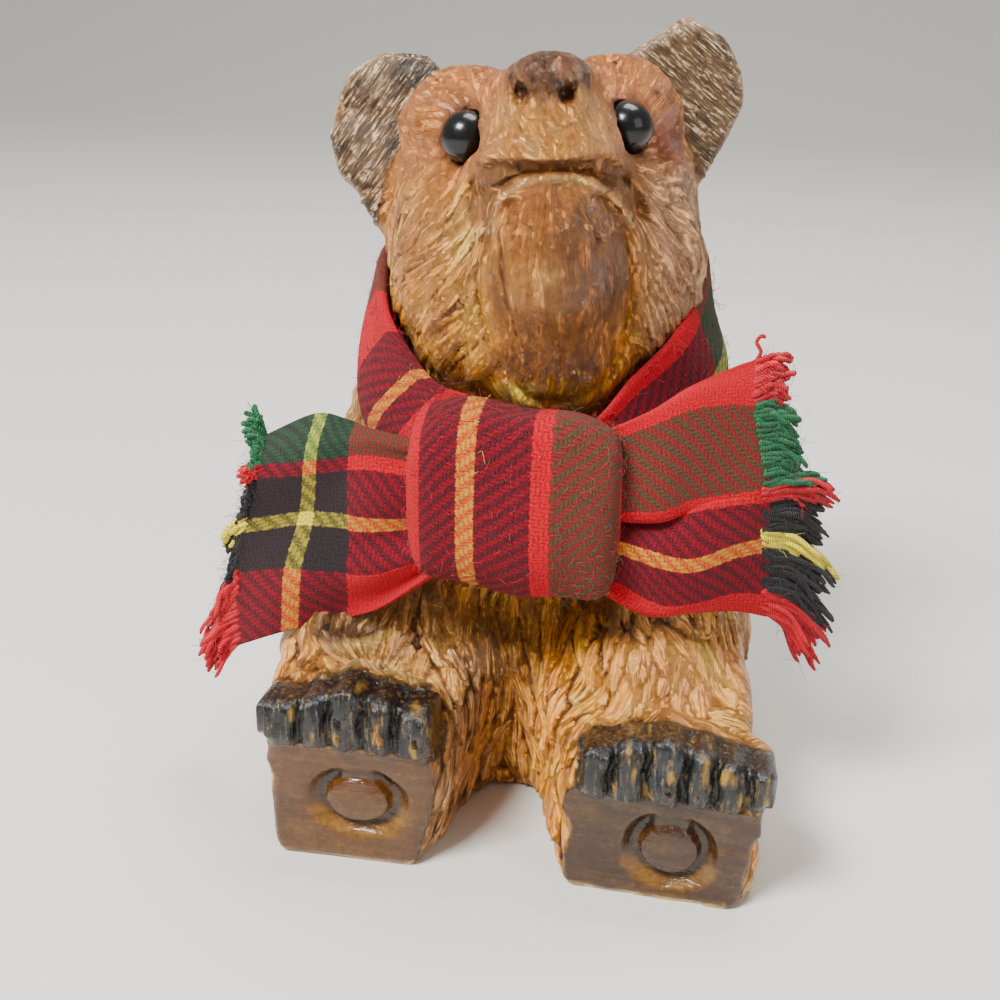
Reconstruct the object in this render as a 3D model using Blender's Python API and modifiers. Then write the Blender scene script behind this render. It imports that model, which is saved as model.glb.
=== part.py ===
"""A seated bear, cast in resin from a carved original, with bead eyes and a tied tartan scarf.

Metres, +Z up. The bear sits on z = 0 and looks towards -Y and up; the origin is under its middle.
"""
import math

import bmesh
import bpy
import numpy as np
from mathutils import Euler, Matrix, Vector

# Driving sizes
FIGURE_HEIGHT = 0.136
EYE_BEAD_DIAMETER = 0.0084
EYE_CLEARANCE = 0.0003
EAR_THICKNESS = 0.008
SOLE_GROOVE_WIDTH = 0.0038
SOLE_GROOVE_DEPTH = 0.0026
MOUTH_SLIT_WIDTH = 0.0019
SCARF_END_THICKNESS = 0.004
SCARF_CLEARANCE = 0.0013

# The figure is laid out in parts of a 136th of its height, so one part is a millimetre at the size built.
PART = FIGURE_HEIGHT / 136

RESIN = (0.42, 0.20, 0.07)
BEAD = (0.01, 0.01, 0.012)
TARTAN = (0.45, 0.03, 0.04)


def clear_scene():
    for old in list(bpy.data.objects):
        bpy.data.objects.remove(old, do_unlink=True)


def collection(name):
    made = bpy.data.collections.new(name)
    bpy.context.scene.collection.children.link(made)
    return made


def material(name, colour, roughness):
    made = bpy.data.materials.new(name)
    made.use_nodes = True
    shader = made.node_tree.nodes["Principled BSDF"]
    shader.inputs["Base Color"].default_value = (*colour, 1)
    shader.inputs["Roughness"].default_value = roughness
    return made


def turned(degrees):
    return Euler([math.radians(d) for d in degrees]).to_matrix().to_4x4()


def placed(centre, degrees=(0, 0, 0)):
    """The matrix of a form at a centre given in parts, turned by three angles."""
    return Matrix.Translation(Vector(centre) * PART) @ turned(degrees)


def stretch(x, y, z):
    return Matrix.Diagonal((x * PART, y * PART, z * PART, 1))


def taken(matrix):
    """The mesh of the primitive just added, moved by a matrix. Its object goes."""
    made = bpy.context.object
    mesh = evaluated_mesh(made)
    bpy.data.objects.remove(made)
    mesh.transform(matrix)
    return mesh


def evaluated_mesh(obj):
    bpy.context.view_layer.update()
    graph = bpy.context.evaluated_depsgraph_get()
    return bpy.data.meshes.new_from_object(obj.evaluated_get(graph))


def rounded(made, edge, segments=3):
    bevel = made.modifiers.new("rounded edges", "BEVEL")
    bevel.width = edge * PART
    bevel.segments = segments


def ellipsoid(centre, radii, degrees=(0, 0, 0), segments=32):
    """A ball stretched to three radii, in parts."""
    bpy.ops.mesh.primitive_uv_sphere_add(segments=segments, ring_count=segments // 2, radius=1)
    return taken(placed(centre, degrees) @ stretch(*radii))


def block(centre, size, edge, degrees=(0, 0, 0)):
    """A box of three sides, in parts, with its edges rounded."""
    bpy.ops.mesh.primitive_cube_add(size=1)
    made = bpy.context.object
    made.data.transform(stretch(*size))
    rounded(made, edge)
    return taken(placed(centre, degrees))


def ring(centre, radii, half_thickness, half_height, degrees=(0, 0, 0), segments=64):
    """A ring round z with an oval plan, and an oval section of its own width and height."""
    bpy.ops.mesh.primitive_torus_add(
        major_segments=segments, minor_segments=segments // 3,
        major_radius=1, minor_radius=half_thickness / radii[0]
    )
    section = half_height * radii[0] / half_thickness
    return taken(placed(centre, degrees) @ stretch(radii[0], radii[1], section))


def slab(outline, thickness, edge, matrix):
    """A flat outline in x and z, in parts, given a thickness along y and rounded edges."""
    curve = bpy.data.curves.new("outline", "CURVE")
    curve.dimensions = "2D"
    curve.fill_mode = "BOTH"
    curve.extrude = thickness / 2 * PART
    spline = curve.splines.new("POLY")
    spline.points.add(len(outline) - 1)
    for point, (x, z) in zip(spline.points, outline):
        point.co = (x * PART, z * PART, 0, 1)
    spline.use_cyclic_u = True
    made = bpy.data.objects.new("outline", curve)
    bpy.context.scene.collection.objects.link(made)
    weld = made.modifiers.new("closed rims", "WELD")
    weld.merge_threshold = 1e-5
    rounded(made, edge, 2)
    mesh = evaluated_mesh(made)
    bpy.data.objects.remove(made)
    mesh.transform(matrix @ Matrix.Rotation(math.radians(90), 4, "X"))
    return mesh


def tapered(front, back, edge):
    """A solid from a front outline to a back one. Each is four corners (x, y, z), in parts."""
    mesh = bpy.data.meshes.new("tapered")
    shape = bmesh.new()
    for corner in (*front, *back):
        shape.verts.new(Vector(corner) * PART)
    bmesh.ops.convex_hull(shape, input=shape.verts)
    bmesh.ops.dissolve_limit(shape, angle_limit=0.02, verts=shape.verts, edges=shape.edges)
    bmesh.ops.bevel(
        shape, geom=shape.edges[:], offset=edge * PART, segments=3, profile=0.5, affect="EDGES"
    )
    shape.to_mesh(mesh)
    shape.free()
    return mesh


def tube(points, radius, steps=3):
    """A round bar along a smooth path through the points, in parts."""
    curve = bpy.data.curves.new("path", "CURVE")
    curve.dimensions = "3D"
    curve.bevel_depth = radius * PART
    curve.bevel_resolution = 1
    curve.resolution_u = steps
    curve.use_fill_caps = True
    spline = curve.splines.new("BEZIER")
    spline.bezier_points.add(len(points) - 1)
    for knot, point in zip(spline.bezier_points, points):
        knot.co = Vector(point) * PART
        knot.handle_left_type = knot.handle_right_type = "AUTO"
    made = bpy.data.objects.new("path", curve)
    bpy.context.scene.collection.objects.link(made)
    weld = made.modifiers.new("closed ends", "WELD")
    weld.merge_threshold = 1e-5
    mesh = evaluated_mesh(made)
    bpy.data.objects.remove(made)
    return mesh


def joined(name, meshes, where):
    """One object that holds all the meshes."""
    bpy.ops.object.select_all(action="DESELECT")
    parts = []
    for mesh in meshes:
        made = bpy.data.objects.new(name, mesh)
        where.objects.link(made)
        made.select_set(True)
        parts.append(made)
    bpy.context.view_layer.objects.active = parts[0]
    bpy.ops.object.join()
    made = bpy.context.object
    made.name = name
    return made


def baked(made):
    """The object with its modifiers worked into its mesh."""
    made.data = evaluated_mesh(made)
    made.modifiers.clear()
    return made


def fused(name, meshes, where, voxel, smoothing):
    """The meshes grown into one skin, with the creases between them softened."""
    made = joined(name, meshes, where)
    remesh = made.modifiers.new("one skin", "REMESH")
    remesh.mode = "VOXEL"
    remesh.voxel_size = voxel * PART
    smooth = made.modifiers.new("soft creases", "SMOOTH")
    smooth.factor = 0.5
    smooth.iterations = smoothing
    return baked(made)


def cut(made, meshes, where):
    """Takes each mesh away from the object."""
    for mesh in meshes:
        cutter = bpy.data.objects.new("cutter", mesh)
        where.objects.link(cutter)
        boolean = made.modifiers.new("cut", "BOOLEAN")
        boolean.operation = "DIFFERENCE"
        boolean.solver = "EXACT"
        boolean.object = cutter
        baked(made)
        bpy.data.objects.remove(cutter)


def whole_only(made):
    """The object without the flecks that a cut leaves loose beside its largest piece."""
    shape = bmesh.new()
    shape.from_mesh(made.data)
    left, pieces = set(shape.verts), []
    while left:
        piece, edge = set(), {left.pop()}
        while edge:
            piece |= edge
            edge = {e.other_vert(v) for v in edge for e in v.link_edges} - piece
        left -= piece
        pieces.append(piece)
    pieces.sort(key=len)
    for piece in pieces[:-1]:
        bmesh.ops.delete(shape, geom=list(piece), context="VERTS")
    shape.to_mesh(made.data)
    shape.free()
    return made


def thinned(made, triangles):
    """The object in about so many triangles, with the largest forms kept."""
    turn = made.modifiers.new("triangles", "TRIANGULATE")
    turn.quad_method = "SHORTEST_DIAGONAL"
    baked(made)
    fewer = made.modifiers.new("fewer", "DECIMATE")
    fewer.ratio = min(1, triangles / len(made.data.polygons))
    return baked(made)


def tidied(made):
    """The object in triangles, without the slivers that a cut leaves."""
    shape = bmesh.new()
    shape.from_mesh(made.data)
    bmesh.ops.remove_doubles(shape, verts=shape.verts, dist=4e-5)
    bmesh.ops.dissolve_degenerate(shape, edges=shape.edges, dist=2e-5)
    bmesh.ops.triangulate(shape, faces=shape.faces)
    shape.to_mesh(made.data)
    shape.free()
    return made


# Carved locks of fur.
def cells(across, along, seed):
    """Distance to the nearest and the next scattered point, and how far past it along the grain."""
    nearest = np.full(across.shape, 9.0)
    second = nearest.copy()
    past = np.zeros(across.shape)
    column, row = np.floor(across), np.floor(along)
    for step_across in (-1, 0, 1):
        for step_along in (-1, 0, 1):
            home = column + step_across, row + step_along
            shift = [
                np.modf(np.abs(np.sin(home[0] * a + home[1] * b + seed)) * 4096)[0]
                for a, b in ((12.9898, 78.233), (39.3467, 11.135))
            ]
            away = home[0] + shift[0] - across, home[1] + shift[1] - along
            distance = np.hypot(*away)
            closer = distance < nearest
            second = np.where(closer, nearest, np.minimum(second, distance))
            past = np.where(closer, away[1], past)
            nearest = np.where(closer, distance, nearest)
    return nearest, second, past


def lock_relief(points, width, length, seed):
    """Height of the carved locks, from 0 in a groove to 1 on a crest, at points in parts."""
    x, y, z = points.T
    around = np.arctan2(x, -y - 4) * 26
    sway = 3 * np.sin(z / 9 + around / 14) + 2 * np.sin(z / 4.1 - around / 7)
    nearest, second, past = cells(
        (around + sway) / width, (z + 0.35 * np.abs(around)) / length, seed
    )
    groove = np.clip((second - nearest) * 2.6, 0, 1)
    return groove * (0.75 + 0.5 * np.clip(past, -0.5, 0.5))


def inside(points, centre, radii):
    """1 well inside an oval region, 0 outside it, and a short fade between."""
    offset = (points - np.array(centre)) / np.array(radii)
    return np.clip(3 * (1 - np.sqrt((offset**2).sum(1))), 0, 1)


def carve_locks(made, depth, bare_regions):
    """Pushes the skin out along its normals into locks of fur, except in the bare regions."""
    mesh = made.data
    count = len(mesh.vertices)
    points, normals = np.empty(count * 3), np.empty(count * 3)
    mesh.vertices.foreach_get("co", points)
    mesh.vertices.foreach_get("normal", normals)
    points = points.reshape(-1, 3)
    laid_out = points / PART
    furry = np.ones(count)
    for centre, radii in bare_regions:
        furry *= 1 - inside(laid_out, centre, radii)
    height = (lock_relief(laid_out, 7, 15, 3) - 0.6) * depth * furry
    points = points + normals.reshape(-1, 3) * (height * PART)[:, None]
    mesh.vertices.foreach_set("co", points.ravel())


# The trunk: a broad seat, a narrower chest and the neck that the scarf hides.
def trunk_forms():
    return [
        ellipsoid((0, 4, 21), (45, 30, 30)),
        block((0, 4, 17), (84, 54, 38), 13),
        ellipsoid((0, 2, 48), (36, 27, 28)),
        ellipsoid((0, -3, 60), (29, 29, 22)),
        ellipsoid((0, 1, 70), (29, 25, 20)),
    ]


def arm_forms():
    """The arms hang from the shoulders and end in paws on the thighs."""
    return [
        ellipsoid((-30, 0, 56), (9, 13, 18), (0, 12, 0)),
        ellipsoid((-32, -13, 42), (8, 14, 10), (20, 0, 0)),
        block((-29, -31, 34), (15, 17, 9), 3.5, (8, 4, 0)),
        ellipsoid((30, 0, 56), (9, 13, 18), (0, -12, 0)),
        ellipsoid((32, -13, 42), (8, 14, 10), (20, 0, 0)),
        ellipsoid((31, -25, 34), (8, 12, 8), (25, 0, 0)),
    ]


# Each foot ends in a flat sole. Its front, its top, and the middle and the radii of its oval pad.
LEFT_SOLE = {"front": -57, "top": 22.4, "x": (-45, -4), "turn": 0, "pad": (-21.4, 12.2), "oval": (6.9, 5.2)}
RIGHT_SOLE = {"front": -58, "top": 19.4, "x": (10, 54), "turn": -3, "pad": (31.5, 9.9), "oval": (6.0, 5.7)}


def leg_forms():
    return [
        tapered(
            [(-38, -59, 22.8), (-7.4, -59, 23), (-10.4, -59, -2), (-34.8, -59, -2)],
            [(-44, -12, 36), (1, -12, 36), (-1, -12, -2), (-43, -12, -2)],
            3,
        ),
        tapered(
            [(15.5, -61, 20), (47, -61, 20), (44, -61, -2), (15.5, -61, -2)],
            [(-1, -12, 40), (40, -12, 40), (43, -12, -2), (1, -12, -2)],
            3,
        ),
        block((1, -16, 14), (20, 27, 34), 6),
        ellipsoid((-20, -20, 28), (15, 18, 13)),
        ellipsoid((25, -24, 28), (15, 20, 15)),
    ]


LEFT_CLAWS = [
    (-35.0, 8.2, 7.6), (-28.6, 5.4, 8.8), (-23.0, 6.2, 11.0), (-17.4, 5.8, 9.4), (-11.2, 7.0, 8.4)
]
RIGHT_CLAWS = [
    (18.6, 5.6, 8.4), (24.0, 5.8, 10.0), (30.0, 6.4, 10.8), (35.5, 5.4, 9.6), (40.6, 5.6, 8.0),
    (45.8, 5.2, 7.2)
]


def claw_forms(row, sole):
    """Thick claws side by side along the top of a sole. Each has its place, its width and its height."""
    claws = []
    for x, wide, tall in row:
        middle = (x, sole["front"] + 5.6, sole["top"] + tall / 2)
        claws.append(block(middle, (wide - 1.1, 15, tall), 1.8, (-7, 0, 0)))
    return claws


def sole_cutters(sole):
    """The flat that ends a foot, and the oval groove round its pad."""
    left, right = sole["x"]
    middle, low = (left + right) / 2, -6
    across, tall = right - left, sole["top"] - low
    turn = (0, 0, sole["turn"])
    flat = block((middle, sole["front"] - 6, low + tall / 2), (across, 12, tall), 0.01, turn)
    depth = SOLE_GROOVE_DEPTH / PART
    x, z = sole["pad"]
    lean = math.tan(math.radians(sole["turn"])) * (x - middle)
    wide, high = sole["oval"]
    half = SOLE_GROOVE_WIDTH / 2 / PART
    groove = ring((0, 0, 0), (wide, high), half, depth, (0, 0, 0), 30)
    groove.transform(placed((x, sole["front"] + lean, z), (90, 0, sole["turn"])))
    return [flat, groove]


# The head is laid out facing -Y and level, then turned about its middle.
HEAD_MIDDLE = Vector((0, -6, 101))
HEAD_SHIFT = Vector((1.5, 0, 0))
HEAD_TURN = (0, -4, 11)
EYE_PLACE = Vector((13.0, -21.5, 119.4))


def head_matrix():
    middle = HEAD_MIDDLE * PART
    moved = Matrix.Translation(middle + HEAD_SHIFT * PART)
    return moved @ turned(HEAD_TURN) @ Matrix.Translation(-middle)


def skull_forms():
    return [
        ellipsoid((0, -3, 97), (28.5, 27, 28)),
        block((0, -4, 103), (54, 38, 38), 15),
        ellipsoid((-12, -10, 120), (12.5, 12, 10)),
        ellipsoid((12, -10, 120), (12.5, 12, 10)),
        ellipsoid((-13, -12, 94), (14.5, 18, 21)),
        ellipsoid((13, -12, 94), (14.5, 18, 21)),
        ellipsoid((0, -11, 98), (24, 25, 27)),
    ]


def muzzle_forms():
    return [
        tapered(
            [(-7, -36, 130.5), (7, -36, 130.5), (12, -40, 116), (-12, -40, 116)],
            [(-10, -12, 130.5), (10, -12, 130.5), (15, -18, 102), (-15, -18, 102)],
            3.5,
        ),
        ellipsoid((0, -34.5, 129), (7, 5, 4.4)),
        ellipsoid((0, -38.6, 117.4), (12.6, 3.6, 3.2), (20, 0, 0)),
        ellipsoid((0, -26, 101), (14.6, 15.2, 15)),
        ellipsoid((0, -19, 89), (18, 16.5, 19)),
    ]


def nostril_forms():
    return [
        ellipsoid((side * 3.4, -39.6, 126.4), (1.5, 2.6, 1.7), (-20, 0, 0), 12) for side in (-1, 1)
    ]


def mouth_form():
    """The long slit of the mouth, arched in the middle and turned down at its ends."""
    return tube(
        [
            (-12.5, -33, 106.5), (-11.2, -37.5, 110.6), (-7, -41.4, 113.9), (0, -42.6, 114.9),
            (7, -41.4, 113.9), (11.2, -37.5, 110.6), (12.5, -33, 106.5)
        ],
        MOUTH_SLIT_WIDTH / 2 / PART,
    )


LEFT_EAR = [
    (-14, 20), (-15.5, 26.4), (-18.8, 29.3), (-26.6, 30.6), (-32.8, 27.8), (-35.8, 22.7), (-37.2, 17.1),
    (-36, 10.8), (-33.4, 5.8), (-27, -4), (-20, 0)
]
RIGHT_EAR = [
    (14, 20), (14.7, 26.1), (19.1, 29.5), (26, 34), (33.2, 29.8), (36.0, 23.8), (36.6, 18.7),
    (33.4, 12.4), (28.2, 4.8), (24, -2), (18, 4)
]


def ear_forms():
    """Thick flat ears, wider at the tip, set into the sides of the head."""
    thick = EAR_THICKNESS / PART
    return [slab(outline, thick, thick / 5, placed((0, 3, 101))) for outline in (LEFT_EAR, RIGHT_EAR)]


def bead(side, grown):
    """A round eye, or the socket for it when it is grown by a clearance."""
    radius = (EYE_BEAD_DIAMETER / 2 + grown) / PART
    place = Vector((side * EYE_PLACE.x, EYE_PLACE.y, EYE_PLACE.z))
    mesh = ellipsoid(place, (radius, radius, radius), (0, 0, 0), 18)
    mesh.transform(head_matrix())
    return mesh


BARE_REGIONS = [
    ((6, -36, 100), (17, 16, 20)),
    ((4, -34, 124), (13, 17, 13)),
    ((-28, 4, 116), (15, 14, 20)),
    ((28, 4, 120), (14, 14, 20)),
    ((-23, -54, 28), (24, 14, 12)),
    ((31.5, -55, 25), (24, 14, 12)),
]


def bear(where):
    """One cast solid: trunk, limbs, head, muzzle and ears, carved and cut flat where it is flat."""
    head = fused("head", skull_forms() + muzzle_forms(), where, 1.5, 5)
    meshes = [head.data] + ear_forms()
    for mesh in meshes:
        mesh.transform(head_matrix())
    core = fused("core", trunk_forms() + leg_forms() + arm_forms(), where, 1.8, 5)
    meshes.append(core.data)
    meshes += claw_forms(LEFT_CLAWS, LEFT_SOLE) + claw_forms(RIGHT_CLAWS, RIGHT_SOLE)
    whole = fused("whole", meshes, where, 1.0, 2)
    for old in (core, head):
        bpy.data.objects.remove(old)
    whole.name = "bear"
    carve_locks(whole, 1.7, BARE_REGIONS)
    face = [mouth_form(), *nostril_forms()]
    for mesh in face:
        mesh.transform(head_matrix())
    face += [bead(side, EYE_CLEARANCE) for side in (-1, 1)]
    ground = block((0, 0, -10), (140, 160, 20), 0.01)
    thinned(whole, 6500)
    cut(whole, [ground, *sole_cutters(LEFT_SOLE), *sole_cutters(RIGHT_SOLE), *face], where)
    return tidied(whole_only(whole))


# The scarf.
LEFT_TAIL = [
    (-10, 67), (-18, 70), (-26.5, 71.5), (-38.8, 72), (-44.5, 73.9), (-46, 60), (-49, 49.3), (-50.2, 38.3),
    (-55, 22.5), (-48.4, 27.3), (-32, 33.6), (-18.1, 40), (-10, 44)
]
RIGHT_TAIL = [
    (12, 46), (19.5, 40.1), (43.9, 39.5), (52, 33), (56, 35.8), (55.5, 51.1), (51.4, 66), (43, 73),
    (45.6, 90), (30.6, 83), (17.9, 73.5), (12, 68)
]


def tail_form(outline, sweep, where):
    """A flat end of the scarf, pleated where it leaves the knot and swept back at its tip."""
    thick = SCARF_END_THICKNESS / PART
    flat = slab(outline, thick, 0.3 * thick, placed((0, -40, 0)))
    tail = fused("tail", [flat], where, 1.4, 0)
    count = len(tail.data.vertices)
    points = np.empty(count * 3)
    tail.data.vertices.foreach_get("co", points)
    points = points.reshape(-1, 3)
    out = np.clip((np.abs(points[:, 0]) / PART - 14) / 40, 0, 1)
    pleat = 1.4 * np.cos(points[:, 2] / PART * 0.5) * (1 - out) ** 2
    points[:, 1] += (pleat + sweep * out**1.4) * PART
    tail.data.vertices.foreach_set("co", points.ravel())
    mesh = tail.data
    bpy.data.objects.remove(tail)
    return mesh


def scarf(where, worn_by):
    """One strip of cloth: a band round the neck, a knot in front and two ends, clear of the bear."""
    forms = [
        ring((0.4, -4, 77), (30.4, 34.5), 4.4, 15, (20, 0, 0)),
        ellipsoid((2.5, -41, 62.5), (19, 8, 20)),
        block((2.5, -41, 63), (33, 12, 33), 5),
        tail_form(LEFT_TAIL, 8, where),
        tail_form(RIGHT_TAIL, 12, where),
    ]
    cloth = fused("tartan_scarf", forms, where, 1.2, 3)
    grown = worn_by.data.copy()
    count = len(grown.vertices)
    points, normals = np.empty(count * 3), np.empty(count * 3)
    grown.vertices.foreach_get("co", points)
    grown.vertices.foreach_get("normal", normals)
    grown.vertices.foreach_set("co", points + normals * SCARF_CLEARANCE)
    cut(cloth, [grown], where)
    return tidied(thinned(whole_only(cloth), 1750))


def main():
    clear_scene()
    figure = collection("seated_bear")
    resin = material("painted resin", RESIN, 0.4)
    gloss = material("bead gloss", BEAD, 0.08)
    cloth = material("tartan cloth", TARTAN, 0.9)
    whole = bear(figure)
    eyes = []
    for name, side in (("eye_left", -1), ("eye_right", 1)):
        eyes.append(bpy.data.objects.new(name, bead(side, 0)))
        figure.objects.link(eyes[-1])
    worn = scarf(figure, whole)
    for made, slot in ((whole, resin), (eyes[0], gloss), (eyes[1], gloss), (worn, cloth)):
        made.data.materials.clear()
        made.data.materials.append(slot)


main()
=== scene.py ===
"""The finished look of a seated bear, cast in resin, with bead eyes and a tied tartan scarf.

Lengths are worked out in millimetres and kept in the meshes in metres. The bear looks towards -Y.
"""
import math
from functools import partial

import bmesh
import bpy
import numpy as np
from mathutils import Euler, Matrix, Vector


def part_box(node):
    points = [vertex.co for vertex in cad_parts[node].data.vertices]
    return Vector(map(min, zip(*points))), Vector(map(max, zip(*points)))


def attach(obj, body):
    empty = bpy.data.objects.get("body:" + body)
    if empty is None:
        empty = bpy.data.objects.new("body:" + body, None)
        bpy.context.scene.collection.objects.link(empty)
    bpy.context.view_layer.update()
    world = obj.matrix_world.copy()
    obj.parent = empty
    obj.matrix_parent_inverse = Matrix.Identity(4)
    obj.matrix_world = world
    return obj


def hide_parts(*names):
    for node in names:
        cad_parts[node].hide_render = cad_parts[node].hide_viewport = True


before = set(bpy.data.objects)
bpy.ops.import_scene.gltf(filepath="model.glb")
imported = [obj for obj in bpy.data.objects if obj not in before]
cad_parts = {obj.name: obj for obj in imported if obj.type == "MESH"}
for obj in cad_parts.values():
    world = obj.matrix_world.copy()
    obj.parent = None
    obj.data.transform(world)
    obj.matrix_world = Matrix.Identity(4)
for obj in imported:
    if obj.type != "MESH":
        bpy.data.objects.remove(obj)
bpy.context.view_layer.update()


# The cast bear. One piece of polyresin, cast from a mould of a carved original, then painted by hand:
# a stain that stays in the cuts, a lighter colour brushed over the crests, and a satin varnish over all.
MM = 0.001
# The even skin has a point about every 0.6 mm, fine enough for the edge of a cut lock.
SKIN_VOXEL = 0.62
# The head is turned 11 degrees and tilted 4 degrees about its middle, and stands 1.5 mm to one side.
HEAD_MIDDLE = np.array([0.0, -6.0, 101.0])
HEAD_SHIFT = np.array([1.5, 0.0, 0.0])
HEAD_AXES = np.array(Euler([0, math.radians(-4), math.radians(11)]).to_matrix())
EYES = {name: np.array(sum(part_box(name), Vector()) / 2) / MM for name in ("eye_left", "eye_right")}


def in_head(points):
    """The points as they were before the head was turned and tilted: level and facing -Y."""
    return (points - HEAD_MIDDLE - HEAD_SHIFT) @ HEAD_AXES + HEAD_MIDDLE


def out_of_head(head):
    """The points of the level head put back where the turned and tilted head has them."""
    return (head - HEAD_MIDDLE) @ HEAD_AXES.T + HEAD_MIDDLE + HEAD_SHIFT


def from_bead(points):
    """Distance of each point from the middle of the nearer bead eye."""
    return np.min([np.linalg.norm(points - middle, axis=1) for middle in EYES.values()], axis=0)


def ramp(x, low, high):
    """0 below low, 1 above high, and an S-curve between. low may be the larger."""
    t = np.clip((x - low) / (high - low), 0, 1)
    return t * t * (3 - 2 * t)


def blob(points, centre, radii):
    """1 in the middle half of an oval region, fading to 0 at its border."""
    offset = (points - np.array(centre)) / np.array(radii)
    return ramp(np.sqrt((offset**2).sum(-1)), 1, 0.55)


def soft_noise(points, size, seed):
    """Value noise from -1 to 1: a chance number at each corner of a grid, blended smoothly between."""
    place = points / size
    low = np.floor(place)
    part = place - low
    part = part * part * (3 - 2 * part)
    total = np.zeros(len(points))
    for corner in np.ndindex(2, 2, 2):
        share = np.prod(np.where(corner, part, 1 - part), axis=1)
        key = (low + corner) @ np.array([127.1, 311.7, 74.7]) + seed * 17.3
        total += share * np.modf(np.abs(np.sin(key)) * 43758.5453)[0]
    return total * 2 - 1


def rough_skin(node, voxel):
    """Points and four-sided faces, in mm, of a CAD node grown into one even skin."""
    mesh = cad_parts[node].data.copy()
    shape = bmesh.new()
    shape.from_mesh(mesh)
    bmesh.ops.remove_doubles(shape, verts=shape.verts, dist=1e-6)
    shape.to_mesh(mesh)
    shape.free()
    copy = bpy.data.objects.new("skin", mesh)
    bpy.context.scene.collection.objects.link(copy)
    remesh = copy.modifiers.new("even skin", "REMESH")
    remesh.mode = "VOXEL"
    remesh.voxel_size = voxel * MM
    bpy.context.view_layer.update()
    skin = bpy.data.meshes.new_from_object(copy.evaluated_get(bpy.context.evaluated_depsgraph_get()))
    points = np.empty(len(skin.vertices) * 3, np.float32)
    skin.vertices.foreach_get("co", points)
    faces = np.empty(len(skin.loops), np.int32)
    skin.loops.foreach_get("vertex_index", faces)
    bpy.data.objects.remove(copy)
    return points.reshape(-1, 3).astype(float) / MM, faces.reshape(-1, 4)


def normals_of(points, faces):
    """Each point's normal: the sum of the cross products of its faces' diagonals, made one long."""
    corner = points[faces]
    across = np.cross(corner[:, 2] - corner[:, 0], corner[:, 3] - corner[:, 1])
    total = np.zeros_like(points)
    for side in range(4):
        for axis in range(3):
            total[:, axis] += np.bincount(faces[:, side], across[:, axis], len(points))
    return total / np.maximum(np.linalg.norm(total, axis=1, keepdims=True), 1e-12)


def eased(values, faces, share, times):
    """Moves each point's value towards the mean of its neighbours, by a share of its own, some times."""
    ends = np.concatenate([faces[:, [0, 1]], faces[:, [1, 2]], faces[:, [2, 3]], faces[:, [3, 0]]])
    count = np.bincount(ends[:, 0], minlength=len(values)) + np.bincount(ends[:, 1], minlength=len(values))
    values = values.copy()
    for _ in range(times):
        for axis in range(values.shape[1]):
            column = values[:, axis]
            near = np.bincount(ends[:, 0], column[ends[:, 1]], len(values))
            near += np.bincount(ends[:, 1], column[ends[:, 0]], len(values))
            values[:, axis] += share * (near / count - column)
    return values


skin, quads = rough_skin("bear", SKIN_VOXEL)

# The regions of the figure. Claws, soles and pads repeat the places in the solid. A sole is given by its
# front, the height of its top, its two sides, its turn in degrees, and its pad's middle and half sizes.
SOLES = [(-57.0, 22.4, (-45, -4), 0.0, (-21.4, 12.2), (6.9, 5.2)),
         (-58.0, 19.4, (10, 54), -3.0, (31.5, 9.9), (6.0, 5.7))]
# A claw is given by its middle across, its width, and its height above the sole.
CLAWS = [
    [(-35.0, 8.2, 7.6), (-28.6, 5.4, 8.8), (-23.0, 6.2, 11.0), (-17.4, 5.8, 9.4), (-11.2, 7.0, 8.4)],
    [(18.6, 5.6, 8.4), (24.0, 5.8, 10.0), (30.0, 6.4, 10.8), (35.5, 5.4, 9.6), (40.6, 5.6, 8.0),
     (45.8, 5.2, 7.2)],
]
# The mouth's outline: along the upper lip from its left corner to its right one, then back over the jaw.
MOUTH = np.array([(-13.2, 106.4), (-13.6, 110), (-13, 113.6), (-11.4, 116.3), (-9.2, 117.9), (-5.1, 118),
                  (1.3, 117.8), (7.8, 117.4), (10.6, 116), (12.8, 113), (14.6, 109.6), (16.4, 104.8),
                  (13.2, 106.2), (10.8, 109.2), (8.8, 112), (5.7, 114.6), (2.5, 115.5), (-0.8, 115.7),
                  (-5.6, 115.2), (-8.2, 113), (-9.8, 110), (-10.6, 107)])
NOSTRILS = [(-4.3, 127.2), (2.5, 126.7)]


def sole_flat(x, sole):
    """How far forward a sole's flat lies at each x: its front, turned about the middle of its width."""
    front, _, (low, high), turn, *_ = sole
    return front + math.tan(math.radians(turn)) * (x - (low + high) / 2)


def lip_line(x):
    """The height where the lip meets the jaw: highest in the middle, falling with the square of x."""
    return 116.8 - 0.035 * x**2


def in_mouth(head):
    """How far inside the mouth's outline a point lies, seen from the front: below 0 is outside it."""
    flat = head[:, [0, 2]]
    far, inside = np.full(len(flat), 99.0), np.zeros(len(flat), bool)
    for start, end in zip(MOUTH, np.roll(MOUTH, -1, axis=0)):
        line = end - start
        t = np.clip((flat - start) @ line / (line @ line), 0, 1)
        far = np.minimum(far, np.linalg.norm(flat - start - t[:, None] * line, axis=1))
        crosses = (start[1] > flat[:, 1]) != (end[1] > flat[:, 1])
        rise = line[1] if line[1] else 1e-9
        inside ^= crosses & (flat[:, 0] < start[0] + line[0] * (flat[:, 1] - start[1]) / rise)
    return np.where(inside, far, -far)


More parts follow.
